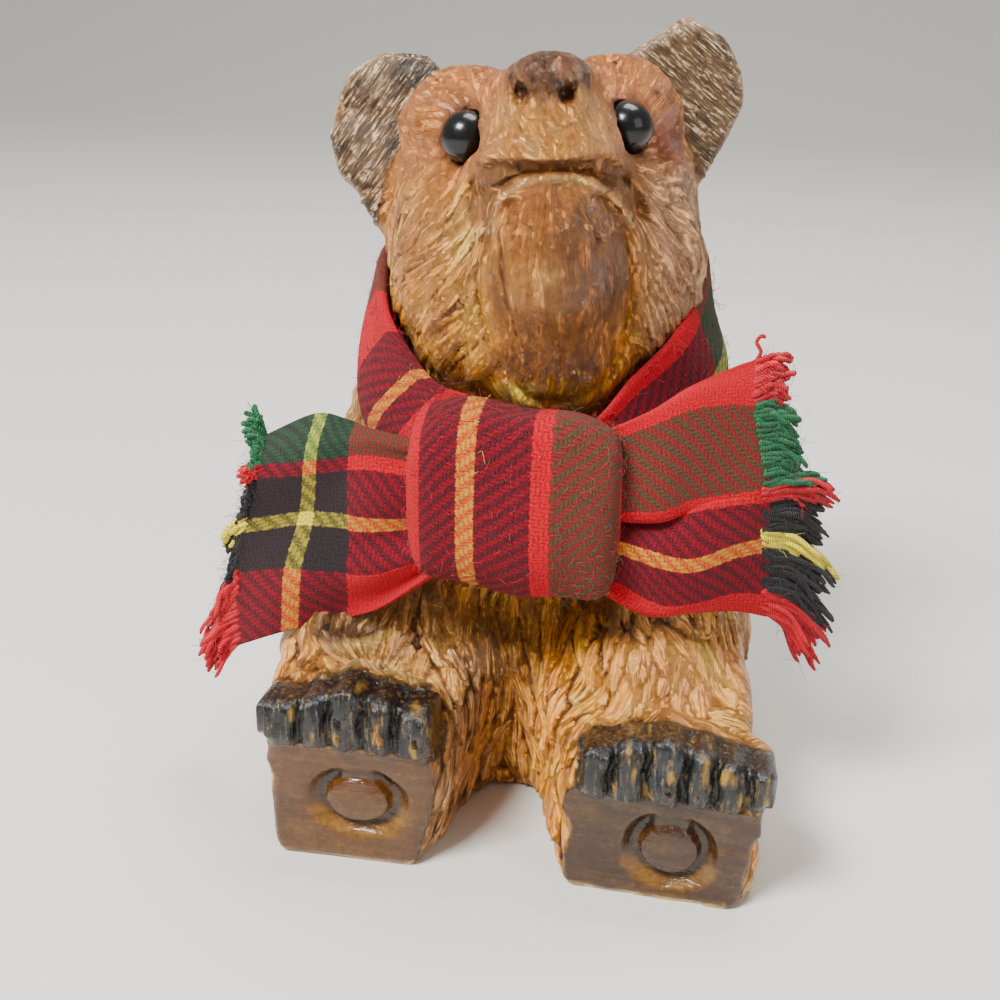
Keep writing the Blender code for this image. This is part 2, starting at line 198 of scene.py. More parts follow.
def regions(points):
    """How much each point belongs to each painted part of the figure, from 0 to 1."""
    head = in_head(points)
    x, y, z = points.T
    claw, sole, pit = np.zeros((3, len(points)))
    ragged = 0.13 * soft_noise(points, 2.4, 31)
    for foot, row in zip(SOLES, CLAWS):
        front, top, (low, high), _, (px, pz), (wide, tall) = foot
        behind = y - sole_flat(x, foot)
        oval = np.hypot((x - px) / wide, (z - pz) / tall)
        near = ramp(behind, 3.4, 2.4) * (oval < 1.6) + ramp(behind, 0.9, 0.45) * (oval >= 1.6)
        side = (x > low) & (x < high)
        sole = np.maximum(sole, near * side * ramp(z, top + 0.4, top))
        ring = ramp(np.abs(oval - 1) * wide, 2.6, 1.2)
        pit = np.maximum(pit, ring * ramp(behind, 0.1, 0.9) * side * (z < top))
        for cx, across, high_by in row:
            middle = np.array([cx, front + 2.6, top + high_by / 2])
            offset = np.abs(points - middle) / np.array([across / 2 + 0.5, 5.4, high_by / 2 + 1.4])
            claw = np.maximum(claw, ramp(offset.max(1) + ragged * (z > top + 3), 1.06, 0.98))
    # An ear is what stands out of the skull's oval in a flat slice across the head.
    skull = np.sqrt((((head - (0, -3, 98)) / (28.5, 27, 28)) ** 2).sum(1))
    ear = ramp(np.abs(head[:, 1] - 3), 5.4, 4.4) * ramp(skull, 1.03, 1.1)
    ear *= (head[:, 2] > 96) & (np.abs(head[:, 0]) > 13)
    return {
        "claw": claw * (1 - sole),
        "sole": sole,
        "pit": pit,
        "ear": ear,
        "nose": blob(head, (0, -36, 130), (9.5, 9, 6.5)),
        "jaw": blob(head, (0, -35, 96), (16.5, 17, 21)),
        "muzzle": blob(head, (0, -38, 121), (15, 15, 11)),
        "brow": ramp(head[:, 2], 108, 118) * ramp(head[:, 1], 8, -2) * (1 - ear),
        "head": ramp(z + 0.35 * (y + 20), 70, 78),
        "leg": ramp(y, -22, -32) * ramp(z, 50, 40),
        "paw": blob(points, (-27, -42, 36), (10, 12, 7)),
        "mouth": ramp(in_mouth(head), -0.35, 0.25) * (head[:, 1] < -20),
        "socket": ramp(from_bead(points), 6.2, 4.7),
        "under": ramp(z, 1.2, 0.3),
    }


def most(part, names):
    """The largest share that any of the named regions has at each point."""
    return np.max([part[name] for name in names.split()], axis=0)


# The steps of the even skin are eased away, but not at the crisp edges.
zone = regions(skin)
crisp = np.maximum(most(zone, "claw sole pit socket under"), zone["ear"] * 0.5)
skin = eased(skin, quads, 0.6 * (1 - crisp) + 0.05, 9)


def shaped_face(points):
    """The face's own form: a narrower bridge, an even muzzle and jaw, and the mouth's band under its lip.

    Each step moves points straight across or back, by its depth times S-curves of where they lie.
    """
    head = in_head(points)
    x, z = head[:, 0].copy(), head[:, 2].copy()
    bead = from_bead(points)
    front_of = ramp(head[:, 1], -16, -22) * ramp(bead, 4.2, 5.0)
    head[:, 0] *= 1 - 0.2 * ramp(z, 118, 124) * ramp(z, 130, 126) * front_of
    muzzle = ramp(z, 110, 117) * ramp(head[:, 1], -24, -32)
    head[:, 1] += 0.034 * x**2 * muzzle
    # The muzzle swells evenly from the nose to the lip, and the jaw goes straight up to the mouth.
    above_lip = z > lip_line(x)
    share = np.abs(head[:, 0]) / np.interp(z, [118, 127], [12.6, 8.2])
    swell = -41.0 + 0.22 * (z - 118) + 2.5 * share**2 + 9.5 * share**4
    swell = np.maximum(head[:, 1] - swell, 0) * ramp(z, 112, 114) * ramp(z, 129, 126) * (share < 1.1)
    head[:, 1] -= swell * ramp(head[:, 1], -22, -26) * ramp(bead, 4.2, 5.2) * above_lip
    plain = -40.2 + 0.0225 * x**2 + 0.00018 * x**4
    plain = np.maximum(head[:, 1] - plain, 0) * ramp(z, 103, 106) * ramp(np.abs(x), 14, 12)
    head[:, 1] -= plain * ramp(head[:, 1], -22, -27) * ~above_lip
    # The band of the mouth is cut in, less so at its corners, and the lip stands out along it.
    deep = in_mouth(head)
    front_of = ramp(head[:, 1], -16, -22)
    corner = ramp(np.abs(x), 8, 11)
    head[:, 1] += (2.1 - 0.7 * corner) * ramp(deep, -0.15 - 0.2 * corner, 0.6 + 0.5 * corner) * front_of
    under = ramp(z - lip_line(x), 0.3, -0.3)
    lip = np.exp(-((deep + 1.2 - 0.5 * under) / (1.0 - 0.4 * under)) ** 2) * ramp(np.abs(x), 14, 12)
    head[:, 1] -= (0.45 + 0.1 * under) * lip * front_of
    # A crease 1.3 mm deep runs round the jaw.
    jaw_edge = np.abs(np.hypot(head[:, 0] / 12.2, (head[:, 2] - 96) / 19.5) - 1)
    head[:, 1] += 1.3 * ramp(jaw_edge, 0.10, 0.02) * front_of * (head[:, 2] < 112)
    return out_of_head(head)


def with_nostrils(points):
    """Two round holes 1.8 mm deep in the front of the nose, each with a low rim."""
    head = in_head(points)
    for x, z in NOSTRILS:
        hole = np.hypot(head[:, 0] - x, (head[:, 2] - z) * 0.85)
        head[:, 1] += 1.8 * ramp(hole, 1.5, 0.7) * ramp(head[:, 1], -22, -27)
        head[:, 1] -= 0.4 * np.exp(-((hole - 2.4) / 0.8) ** 2) * ramp(head[:, 1], -22, -27)
    return out_of_head(head)


def shaped_feet(points):
    """Deep cuts between the claws, ridges down each, and the pad's groove filled at its top.

    A cut is as deep as an S-curve of the distance from the line between two claws, which wavers.
    """
    points = points.copy()
    x, y, z = points.T.copy()
    for foot, row in zip(SOLES, CLAWS):
        _, top, (low, high), _, (px, pz), (wide, tall) = foot
        flat = sole_flat(x, foot)
        ahead = ramp(y - flat, 7.5, 5.0) * ramp(z, top - 0.6, top + 0.6) * (x > low - 3) * (x < high + 3)
        for (a, wide_a, _), (b, wide_b, _) in zip(row[:-1], row[1:]):
            middle = (a + wide_a / 2 + b - wide_b / 2) / 2
            line = middle + 0.35 * np.sin(z * 0.9 + middle) + 0.06 * (z - top - 4)
            points[:, 1] += 1.7 * ramp(np.abs(x - line), 0.95, 0.1) * ahead
            points[:, 2] -= 0.5 * ramp(np.abs(x - line), 1.2, 0.2) * ahead * ramp(z, top + 4, top + 8)
        ridge = 1 - 2 * np.abs(soft_noise(np.stack([x * 1.9, y * 0.5, z * 0.35], 1), 2.2, 41))
        slant = soft_noise(np.stack([x, y, z + 0.5 * x], 1), 3.4, 43)
        points[:, 1] -= (0.7 * ridge + 0.55 * slant) * ahead * ramp(y - flat, 5, 3)
        # The pad stands in a groove 2.1 mm deep, which opens wide below it and is filled above it.
        oval = np.hypot((x - px) / (wide * 0.93), (z - pz) / (tall * 0.9))
        inside = (x > low) & (x < high) & (z < top)
        below, beside = ramp(z - pz, 1.0, -2.5), ramp(np.abs(x - px), 2.0, 5.0)
        outer = ramp(oval, 1.72, 1.0) * below + ramp(oval, 1.5, 1.12) * (1 - below)
        groove = 2.1 * ramp(oval, 0.80, 0.92) * outer * np.clip(below * 0.8 + beside + 0.3, 0, 1)
        near_pad = inside * ramp(oval, 1.95, 1.75) * (y < flat + 4)
        points[:, 1] += (flat + groove - 0.25 * ramp(oval, 0.9, 0.2) - y) * near_pad
        dent = soft_noise(np.stack([x, 0 * y, z], 1), 4.5, 44) * 0.28
        strip = soft_noise(np.stack([x * 0.12, 0 * y, z + 0.05 * x], 1), 1.3, 45) * 0.12
        points[:, 1] += (dent + strip) * inside * (y < flat + 3.5)
    return points


# The muzzle is eased once more, clear of the mouth and the beads, before the nostrils are cut.
skin = shaped_feet(shaped_face(skin))
muzzle = blob(in_head(skin), (0, -34, 121), (17, 17, 13)) * ramp(in_mouth(in_head(skin)), -0.6, -1.8)
skin = with_nostrils(eased(skin, quads, 0.6 * muzzle * (1 - regions(skin)["socket"]), 8))
facing = normals_of(skin, quads)
zone = regions(skin)


# The carved strokes. Each is a leaf-shaped cut lock that lies along the run of the fur and overlaps
# the root of the next.
def fur_run(points, normals):
    """The way the fur lies: away from the muzzle on the head, down the trunk and out along the legs."""
    head, part = in_head(points), regions(points)
    from_nose = head - np.array([0, -30, 116])
    from_nose /= np.linalg.norm(from_nose, axis=1, keepdims=True)
    on_head = (from_nose * [1, 0.9, 0.6]) @ HEAD_AXES.T + np.array([0, 0, -0.75])
    on_head += ramp(head[:, 2], 112, 122)[:, None] * np.array([0, 0.3, 1.3])
    on_leg = ramp(points[:, 1], -16, -30)[:, None] * ramp(points[:, 2], 52, 42)[:, None]
    on_ear = np.where(points[:, :1] < 0, np.array([[0.55, 0, 0.83]]), np.array([[-0.5, 0, 0.86]]))
    run = np.array([0.0, 0.0, -1.0]) + on_leg * np.array([0.0, -0.8, 0.2])
    for name, way in (("head", on_head), ("ear", on_ear)):
        run = run * (1 - part[name][:, None]) + way * part[name][:, None]
    run -= normals * (run * normals).sum(1, keepdims=True)
    run /= np.maximum(np.linalg.norm(run, axis=1, keepdims=True), 1e-6)
    swirl = 0.8 * soft_noise(points, 14, 5) + 0.38 * soft_noise(points, 5.5, 6)
    swirl *= 1 - 0.75 * most(part, "jaw ear") + 0.5 * part["leg"]
    side = np.cross(normals, run)
    return run * np.cos(swirl)[:, None] + side * np.sin(swirl)[:, None]


def stroke_sizes(points):
    """Length, width and height in mm of the strokes that start at the points."""
    part = regions(points)
    shape = np.tile([14.5, 3.4, 1.3], (len(points), 1))
    for name, size in (
        ("head", (12.5, 2.0, 0.62)), ("leg", (13.0, 5.4, 1.9)), ("brow", (5.5, 1.7, 0.26)),
        ("muzzle", (4.0, 1.5, 0.22)), ("jaw", (12.0, 1.8, 0.14)), ("nose", (3.5, 1.4, 0.14)),
        ("paw", (8.0, 3.0, 0.10)), ("ear", (16.0, 1.7, 0.25)),
    ):
        share = part[name][:, None]
        shape = shape * (1 - share) + np.array(size) * share
    # One thigh is worn smoother than the other.
    smooth = 0.72 * blob(points, (34, -42, 33), (16, 24, 15))
    shape[:, 2] *= (1 - most(part, "claw sole pit mouth socket")) * (1 - smooth)
    return shape


def carved(points, normals, seed):
    """Height of the strokes at each point, nearness to a stroke's rim, place along its grain, and its tone.

    A stroke is as high as its crest times the root of 1 - (place across / half width) squared, higher
    towards its tip, and where strokes overlap the highest shows.
    """
    order = np.argsort(points[:, 2], kind="stable")
    laid, up = points[order], normals[order]
    chance = np.random.default_rng(seed)
    mixed = chance.permutation(len(laid))
    size = stroke_sizes(laid)
    cell = np.clip(0.6 * np.sqrt(size[mixed, 0] * size[mixed, 1]), 1.5, 6).round(1)
    keys = np.floor(laid[mixed] / cell[:, None])
    _, first = np.unique(np.column_stack([keys, cell]), axis=0, return_index=True)
    chosen = mixed[first]
    run = fur_run(laid[chosen], up[chosen])
    side = np.cross(up[chosen], run)
    length, width, height = (size[chosen] * chance.uniform(0.75, 1.25, (len(chosen), 1))).T
    height = height * chance.uniform(0.7, 1.3, len(chosen))
    shift = chance.uniform(0, 40, len(chosen))
    low = np.searchsorted(laid[:, 2], laid[chosen, 2] - length / 2)
    high = np.searchsorted(laid[:, 2], laid[chosen, 2] + length / 2)
    best = np.zeros(len(laid))
    rim = np.ones(len(laid))
    grain = np.zeros((len(laid), 3))
    tone = np.zeros(len(laid))
    lighter = chance.normal(0, 1, len(chosen))
    for k, centre in enumerate(chosen):
        window = slice(low[k], high[k])
        offset = laid[window] - laid[centre]
        near = np.flatnonzero((offset**2).sum(1) < (length[k] / 2) ** 2)
        offset, index = offset[near], near + low[k]
        along = offset @ run[k] / length[k] + 0.5
        across = offset @ side[k]
        half = width[k] / 2 * np.clip(along / 0.3, 0, 1) ** 0.5 * np.clip((1 - along) / 0.5, 0, 1) ** 0.7
        body = 1 - (across / np.maximum(half, 1e-3)) ** 2
        seen = (body > 0) & (up[index] @ up[centre] > 0.1) & (np.abs(offset @ up[centre]) < 3)
        body, along, across, index = body[seen], along[seen], across[seen], index[seen]
        crest = (height[k] + 0.02) * (0.4 + 0.6 * along) * body**0.6
        wins = crest > best[index]
        index = index[wins]
        best[index] = crest[wins]
        rim[index] = 1 - body[wins] ** 0.5
        grain[index, 0] = across[wins] + shift[k]
        grain[index, 1] = along[wins] * length[k] + shift[k] * 3
        tone[index] = lighter[k]
    back = np.empty(len(order), int)
    back[order] = np.arange(len(order))
    return best[back], rim[back], grain[back], tone[back]


relief, rim, grain, tone = carved(skin, facing, 11)
# A hollow is a place where the strokes lie lower than round about, and there the stain gathers.
hollow = eased(relief[:, None], quads, 0.7, 5)[:, 0] - relief
# The ears are hatched: straight brush lines across each, up to the outside on one, crossed on the other.
ear_x, ear_y, ear_z = in_head(skin).T
slant = np.where(ear_x < 0, 0.72, -0.85)
hatch = [ear_x * np.cos(slant) - ear_z * np.sin(slant),
         (ear_x * np.sin(slant) + ear_z * np.cos(slant)) * 1.4, ear_y]
# Brush lines run level on the flat soles, and knife lines run down the claws.
x, y, z = skin.T
level_lines, knife_lines = [z * 0.45, x * 0.4, 0 * x], [x * 0.8, z + 0.6 * x, y]
for name, lines in (("ear", hatch), ("sole", level_lines), ("claw", knife_lines)):
    grain = np.where(zone[name][:, None] > 0.4, np.stack(lines, 1), grain)
rim = np.where(zone["ear"] > 0.4, 0.25, rim)
rim = np.where(zone["sole"] > 0.4, 0.3, rim)
# The fur is shallow where it meets the soles and the claws, so that their edges stay clean.
clean = np.ones(len(skin))
for front, top, (low, high), *_ in SOLES:
    beyond = (z > top + 1) | (x < low - 4) | (x > high + 4)
    clean = np.minimum(clean, 0.25 + 0.75 * ramp(y - front, 1.5, 6.0) + beyond)
bare = most(zone, "claw sole pit mouth socket under")
relief = (relief - 0.55 * stroke_sizes(skin)[:, 2]) * (1 - bare) * clean
skin = skin + facing * relief[:, None]
skin[:, 2] = np.maximum(skin[:, 2], 0)


def hex_colour(text):
    """Linear red, green and blue of an sRGB colour written as six hex digits."""
    level = np.array([int(text[k:k + 2], 16) for k in (0, 2, 4)]) / 255
    return np.where(level <= 0.04045, level / 12.92, ((level + 0.055) / 1.055) ** 2.4)


def laid_on(ground, layers):
    """A ground colour under layers of paint, each a colour and its share at each point, from 0 to 1."""
    coat = np.tile(hex_colour(ground), (len(layers[0][1]), 1))
    for colour, share in layers:
        share = np.clip(share, 0, 1)[:, None]
        coat = coat * (1 - share) + hex_colour(colour) * share
    return coat


def painted(points, part, tone):
    """The coat under the wash and the dry brush, part by part, as linear colours. Each lock has its tone."""
    x, y, z = points.T
    head = in_head(points)
    mottle = soft_noise(points, 9, 21) * 0.6 + soft_noise(points, 3.5, 22) * 0.4
    fleck = soft_noise(points, 2.0, 23) * 0.6 + soft_noise(points, 1.0, 24) * 0.4

    def spot(centre, radii):
        return blob(head, centre, radii) * part["head"]

    layers = [
        # The fur: warm and mottled, redder on the brow, duller down one side of the head.
        ("E29E5A", 0.35 + 0.9 * mottle),
        ("855226", ramp(mottle, 0.05, -0.55) * 0.75),
        ("DA9254", part["head"] * (0.65 + 0.5 * mottle) * ramp(z, 80, 108)),
        ("D2893C", part["head"] * ramp(z, 104, 78) * (0.8 + 0.4 * mottle)),
        ("CC9A74", part["head"] * ramp(head[:, 0], 12, 17) * 0.8),
        ("E6A65E", spot((-13.5, -30, 103), (7, 12, 14)) * (0.7 + 0.5 * mottle)),
        ("CE824C", part["brow"] * 0.9),
        ("9A4F30", spot((21, -18, 117), (5, 8, 6)) * 0.8),
        ("E29A56", part["muzzle"] * 0.8),
        ("EDAA70", part["muzzle"] * ramp(fleck, 0.15, 0.45) * 0.8),
        # The bare jaw, stained brown, with gold below the chin.
        ("A0622C", part["jaw"] * (0.75 + 0.3 * mottle)),
        # Painted shade: the right half of the jaw is darker.
        ("7C4B2A", spot((6, -38, 102), (9, 14, 14)) * 0.75),
        ("B06A38", spot((-4, -42, 111), (8, 10, 5)) * 0.7),
        ("CE9A5C", spot((-2.6, -40, 97), (7.0, 12, 6.5)) * ramp(fleck, -0.2, 0.35) * 0.7),
        ("66350F", spot((-2.0, -34, 84.0), (12, 12, 5)) * (0.7 + 0.5 * mottle)),
        # The gold fur below the chin is painted lighter than its own colour, as painted light, since it lies
        # in shade.
        ("FFD070", spot((-2.0, -27, 75.0), (15, 14, 8)) * 0.95),
        ("E8A052", spot((-13.5, -30, 91), (5, 12, 10)) * 0.85),
        # The nose, and the worn fur beside it.
        ("573520", part["nose"] * (0.8 + 0.4 * fleck)),
        ("E09E58", spot((-3.6, -38, 124.5), (2.4, 8, 3.6)) * ramp(fleck, -0.3, 0.2) * 0.8),
        ("E09E58", spot((4.6, -38, 124.5), (2.6, 8, 4.2)) * ramp(fleck, -0.3, 0.2) * 0.8),
        ("B87C50", spot((13, -28, 112), (6, 9, 7)) * 0.6),
        # The legs: orange on the inside of one, dull on the inside of the other, and pale crests in front.
        ("E0913A", part["leg"] * ramp(x, 4, 7) * ramp(x, 21, 11) * 0.85),
        ("9A7448", part["leg"] * ramp(x, 2, -6) * ramp(x, -26, -14) * (0.6 + 0.4 * mottle)),
        ("EEA45E", part["leg"] * ramp(x, 20, 30) * 0.7),
        ("EBC67E", blob(points, (-18, -46, 29), (11, 9, 4.5)) * ramp(fleck, -0.25, 0.2) * 0.95),
        ("EAC07C", blob(points, (19, -47, 27), (9, 9, 5)) * ramp(fleck, 0.0, 0.35) * 0.8),
        ("5B3C22", part["paw"] * 0.9),
        # A painted highlight along the lower edge of the resting paw.
        ("E8C27A", part["paw"] * ramp(z - 0.25 * (x + 30), 33.5, 31.5) * 0.8),
        # The ears: dark in patches and along their edges.
        ("8E7050", part["ear"]),
        ("2A211A", part["ear"] * ramp(soft_noise(points, 6, 25), 0.2, 0.5) * 0.9),
        ("241C15", part["ear"] * ramp(np.abs(head[:, 1] - 3), 3.0, 3.9) * 0.6),
    ]
    # A brown band behind the claws, then the claws: black, with gold rubbed on and blue-grey patches of
    # painted reflection.
    for foot in SOLES:
        _, top, (low, high), *_ = foot
        reach = y - sole_flat(x, foot)
        band = np.exp(-((reach - 7.5) / 2.2) ** 2) * (z > top + 3) * (x > low - 2) * (x < high + 2)
        layers.append(("6A431E", band * (0.75 + 0.5 * fleck)))
    bare_sole = part["sole"] * (1 - part["claw"])
    level_streak = soft_noise(np.stack([x * 0.1, 0 * y, z + 0.06 * x], 1), 0.8, 28)
    layers += [
        ("0C0D10", part["claw"]),
        # Painted reflection: blue-grey patches on the black claws.
        ("20262E", part["claw"] * ramp(soft_noise(points * [1.6, 1, 0.4], 2.0, 26), 0.3, 0.6) * 0.6),
        ("A8843E", part["claw"] * ramp(soft_noise(points * [1.8, 1, 0.5], 1.8, 27), 0.6, 0.8) * 0.6),
        ("482B0E", bare_sole),
        # Painted shade: the right sole is darker than the left.
        ("2C1806", bare_sole * ramp(x, -4, 12) * 0.9),
        ("8A683E", bare_sole * ramp(level_streak, 0.1, 0.6) * 0.12),
        ("35210F", bare_sole * ramp(mottle, 0.1, 0.6) * 0.6),
    ]
    # The soles are worn pale at their borders, with a painted highlight below the pad and painted shade in
    # its groove.
    for _, top, (low, high), _, (px, pz), (wide, tall) in SOLES:
        border = np.minimum.reduce([x - low, high - x, z + 0.2, top + 1.0 - z])
        worn = ramp(border, 1.3, 0.3) * ramp(fleck, -0.35, 0.15) * (x > low - 3) * (x < high + 3)
        shelf = np.hypot((x - px) / wide, (z - pz) / tall)
        layers += [
            ("E2BC78", bare_sole * worn * 0.85),
            # A painted highlight on the slope below the pad.
            ("7E5A30", bare_sole * ramp(np.abs(shelf - 1.25), 0.3, 0.1) * ramp(z - pz, -1.5, -3.5) * 0.5),
            # Painted shade in the pad's groove.
            ("1E1208", bare_sole * ramp(np.abs(shelf - 0.98), 0.16, 0.04) * 0.8),
        ]
    # The mouth's band, a painted highlight along the top of the jaw, the sockets and the nostrils.
    jaw_top_highlight = np.exp(-((in_mouth(head) + 0.6) / 0.45) ** 2) * (head[:, 1] < -24) * (np.abs(head[:, 0]) < 13)
    jaw_top_highlight *= ramp(head[:, 2] - lip_line(head[:, 0]), 0.3, -0.3)
    layers += [
        ("8F5C30", part["mouth"] * (0.85 + 0.25 * fleck)),
        ("EBB47A", jaw_top_highlight * (0.8 + 0.3 * fleck)),
        ("4A2A16", part["socket"] * 0.6),
    ]
    for nostril_x, nostril_z in NOSTRILS:
        hole = np.hypot(head[:, 0] - nostril_x, head[:, 2] - nostril_z)
        layers.append(("4A2412", ramp(hole, 1.6, 0.7) * (head[:, 1] < -28) * 0.95))
    own_tone = 0.2 * np.clip(tone, -1.8, 1.8) * (1 - part["sole"]) * (1 - part["claw"])
    coat = laid_on("C88844", layers) * (1.24 + own_tone)[:, None]
    grey = coat @ np.array([[0.3], [0.5], [0.2]])
    return np.clip(grey + 1.16 * (coat - grey), 0.002, 0.95)


def fill(node, inputs):
    """Gives each input of a shader node its value, or joins it to a socket."""
    for key, value in inputs.items():
        if isinstance(value, bpy.types.NodeSocket):
            node.id_data.links.new(value, node.inputs[key])
        else:
            node.inputs[key].default_value = value


def add_node(tree, kind, inputs, output=0, **settings):
    """Adds a shader node with its settings and inputs, and gives the output asked for."""
    made = tree.nodes.new("ShaderNode" + kind)
    for key, value in settings.items():
        setattr(made, key, value)
    fill(made, inputs)
    return made.outputs[output]


def new_finish(name):
    """An empty material, its Principled shader, and the function that adds nodes to it."""
    made = bpy.data.materials.new(name)
    made.use_nodes = True
    return made, made.node_tree.nodes["Principled BSDF"], partial(add_node, made.node_tree)


def resin_finish():
    """Hand-painted polyresin: a stain in the cuts, a dry brush of ochre on the crests, satin varnish."""
    made, shader, add = new_finish("painted cast resin")
    coat, ochre = (add("Attribute", {}, "Color", attribute_name=name) for name in ("coat", "ochre"))
    rim, hard, hollow, brushed = (
        add("Attribute", {}, "Fac", attribute_name=name) for name in ("rim", "hard", "hollow", "brushed"))
    grain = add("Attribute", {}, "Vector", attribute_name="grain")
    place = add("TexCoord", {}, "Object")
    # Knife lines half a millimetre apart that run 7 mm along each stroke.
    lines = add("Mapping", {"Vector": grain, "Scale": (2.2, 0.15, 1)})
    cut = add("TexNoise", {"Vector": lines, "Scale": 1.0, "Detail": 4.0, "Roughness": 0.68})
    # Grit in the paint, about 1 mm and finer, and patches of 6 mm where the resin took more stain.
    grit = add("TexNoise", {"Vector": place, "Scale": 900.0, "Detail": 3.0, "Roughness": 0.65})
    patch = add("TexNoise", {"Vector": place, "Scale": 160.0, "Detail": 2.0})
    # The stain lies in the knife lines, at the rims of the strokes and in the hollows between them.
    low = add("MapRange", {"Value": cut, "From Min": 0.5, "From Max": 0.41})
    stain = add("Math", {0: low, 1: 0.82}, operation="MULTIPLY")
    sunk = add("MapRange", {"Value": hollow, "From Min": 0.03, "From Max": 0.2})
    edge = add("MapRange", {"Value": rim, "From Min": 0.5, "From Max": 0.9, "To Max": 0.9})
    edge = add("Math", {0: edge, 1: sunk}, operation="MAXIMUM")
    stain = add("Math", {0: stain, 1: edge}, operation="MAXIMUM")
    blot = add("MapRange", {
        "Value": patch, "From Min": 0.35, "From Max": 0.65, "To Min": 0.6, "To Max": 1.25})
    stain = add("Math", {0: stain, 1: blot}, operation="MULTIPLY")
    soft = add("Math", {0: 1.0, 1: hard}, operation="SUBTRACT")
    stain = add("Math", {0: stain, 1: soft}, operation="MULTIPLY", use_clamp=True)
    dark = add("Mix", {"Factor": 1.0, "A": coat, "B": (0.17, 0.09, 0.05, 1)}, "Result",
               data_type="RGBA", blend_type="MULTIPLY")
    base = add("Mix", {"Factor": stain, "A": coat, "B": dark}, "Result", data_type="RGBA")
    # The dry brush catches only the high lines of a stroke's crest, and leaves a broken edge in the grit.
    high = add("MapRange", {"Value": cut, "From Min": 0.52, "From Max": 0.62})
    worn = add("MapRange", {"Value": grit, "From Min": 0.38, "From Max": 0.6})
    crest = add("MapRange", {"Value": rim, "From Min": 0.75, "From Max": 0.2})
    brush = high
    for share in (worn, crest, brushed):
        brush = add("Math", {0: brush, 1: share}, operation="MULTIPLY", use_clamp=True)
    colour = add("Mix", {"Factor": brush, "A": base, "B": ochre}, "Result", data_type="RGBA")
    speck = add("MapRange", {
        "Value": grit, "From Min": 0.36, "From Max": 0.64, "To Min": 0.78, "To Max": 1.16})
    colour = add("HueSaturation", {"Color": colour, "Value": speck})
    # The varnish is uneven, and smoother on the claws and the soles.
    shine = add("MapRange", {
        "Value": grit, "From Min": 0.3, "From Max": 0.7, "To Min": 0.3, "To Max": 0.55})
    gloss = add("MapRange", {"Value": hard, "To Min": 1.0, "To Max": 0.45})
    shine = add("Math", {0: shine, 1: gloss}, operation="MULTIPLY")
    knife = add("Math", {0: cut, 1: soft}, operation="MULTIPLY")
    scored = add("Bump", {"Height": knife, "Strength": 1.0, "Distance": 0.0009})
    pitted = add("Bump", {"Height": grit, "Strength": 0.6, "Distance": 0.0002, "Normal": scored})
    fill(shader, {
        "Base Color": colour, "Roughness": shine, "IOR": 1.52, "Specular IOR Level": 0.4, "Coat Weight": 0.45,
        "Coat Roughness": 0.12, "Normal": pitted, "Coat Normal": pitted})
    return made


def new_piece(name, points, faces, finish, values=None):
    """A smooth-shaded mesh from points in mm, with one named value or colour per point where given."""
    mesh = bpy.data.meshes.new(name)
    mesh.from_pydata((points * MM).tolist(), [], [tuple(face) for face in faces])
    for key, value in (values or {}).items():
        kind, field = ("FLOAT", "value") if value.ndim == 1 else ("FLOAT_VECTOR", "vector")
        if key in ("coat", "ochre", "yarn"):
            kind, field, value = "FLOAT_COLOR", "color", np.column_stack([value, np.ones(len(value))])
        layer = mesh.attributes.new(key, kind, "POINT")
        layer.data.foreach_set(field, value.astype(np.float32).ravel())
    mesh.polygons.foreach_set("use_smooth", np.ones(len(mesh.polygons), bool))
    mesh.materials.append(finish)
    made = bpy.data.objects.new(name, mesh)
    bpy.context.scene.collection.objects.link(made)
    return made


zone = regions(skin)
ochre = laid_on("F6C27C", [(paint, zone[key]) for key, paint in (
    ("ear", "E0C29A"), ("claw", "C2A45C"), ("brow", "DE9560"), ("jaw", "C48C50"), ("sole", "A88250"))])
brushed = 0.9 + sum(share * zone[key] for key, share in (
    ("jaw", -0.05), ("brow", -0.35), ("ear", 0.9), ("sole", -0.8), ("claw", -0.5)))
hard = np.maximum(0.6 * zone["claw"], 0.8 * zone["sole"])
rim = np.where(most(zone, "claw sole mouth") > 0.3, 0.4, rim)
# Below the chin less stain is laid and more dry brush shows, as painted light on fur that lies in shade.
under_chin_painted_light = blob(in_head(skin), (-2, -27, 75), (14, 14, 8))
bear = new_piece("carved_bear", skin, quads, resin_finish(), {
    "coat": painted(skin, zone, tone), "ochre": ochre, "rim": rim * (1 - 0.6 * under_chin_painted_light), "hard": hard,
    "brushed": brushed, "grain": grain, "hollow": hollow * (1 - bare) * (1 - 0.8 * under_chin_painted_light),
})
# Faces are merged where the skin is flat, so that the piece stays under 200,000 triangles.
thin = bear.modifiers.new("fewer faces where it is flat", "DECIMATE")
thin.ratio = 0.58
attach(bear, "root")
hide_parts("bear")


# The eyes. Two glossy black craft beads, 8.4 mm across, glued into round sockets.
def bead_finish():
    """Black glass-clear acrylic: no colour of its own, and the studio lights show sharp in it."""
    made, shader, add = new_finish("polished black acrylic")
    place = add("TexCoord", {}, "Object")
    dust = add("TexNoise", {"Vector": place, "Scale": 1400.0, "Detail": 2.0})
    film = add("MapRange", {
        "Value": dust, "From Min": 0.45, "From Max": 0.8, "To Min": 0.24, "To Max": 0.34})
    fill(shader, {
        "Base Color": (*hex_colour("0A0A0C"), 1), "Roughness": film, "IOR": 1.49, "Specular IOR Level": 0.3,
        "Coat Weight": 0.35, "Coat Roughness": 0.05})
    return made


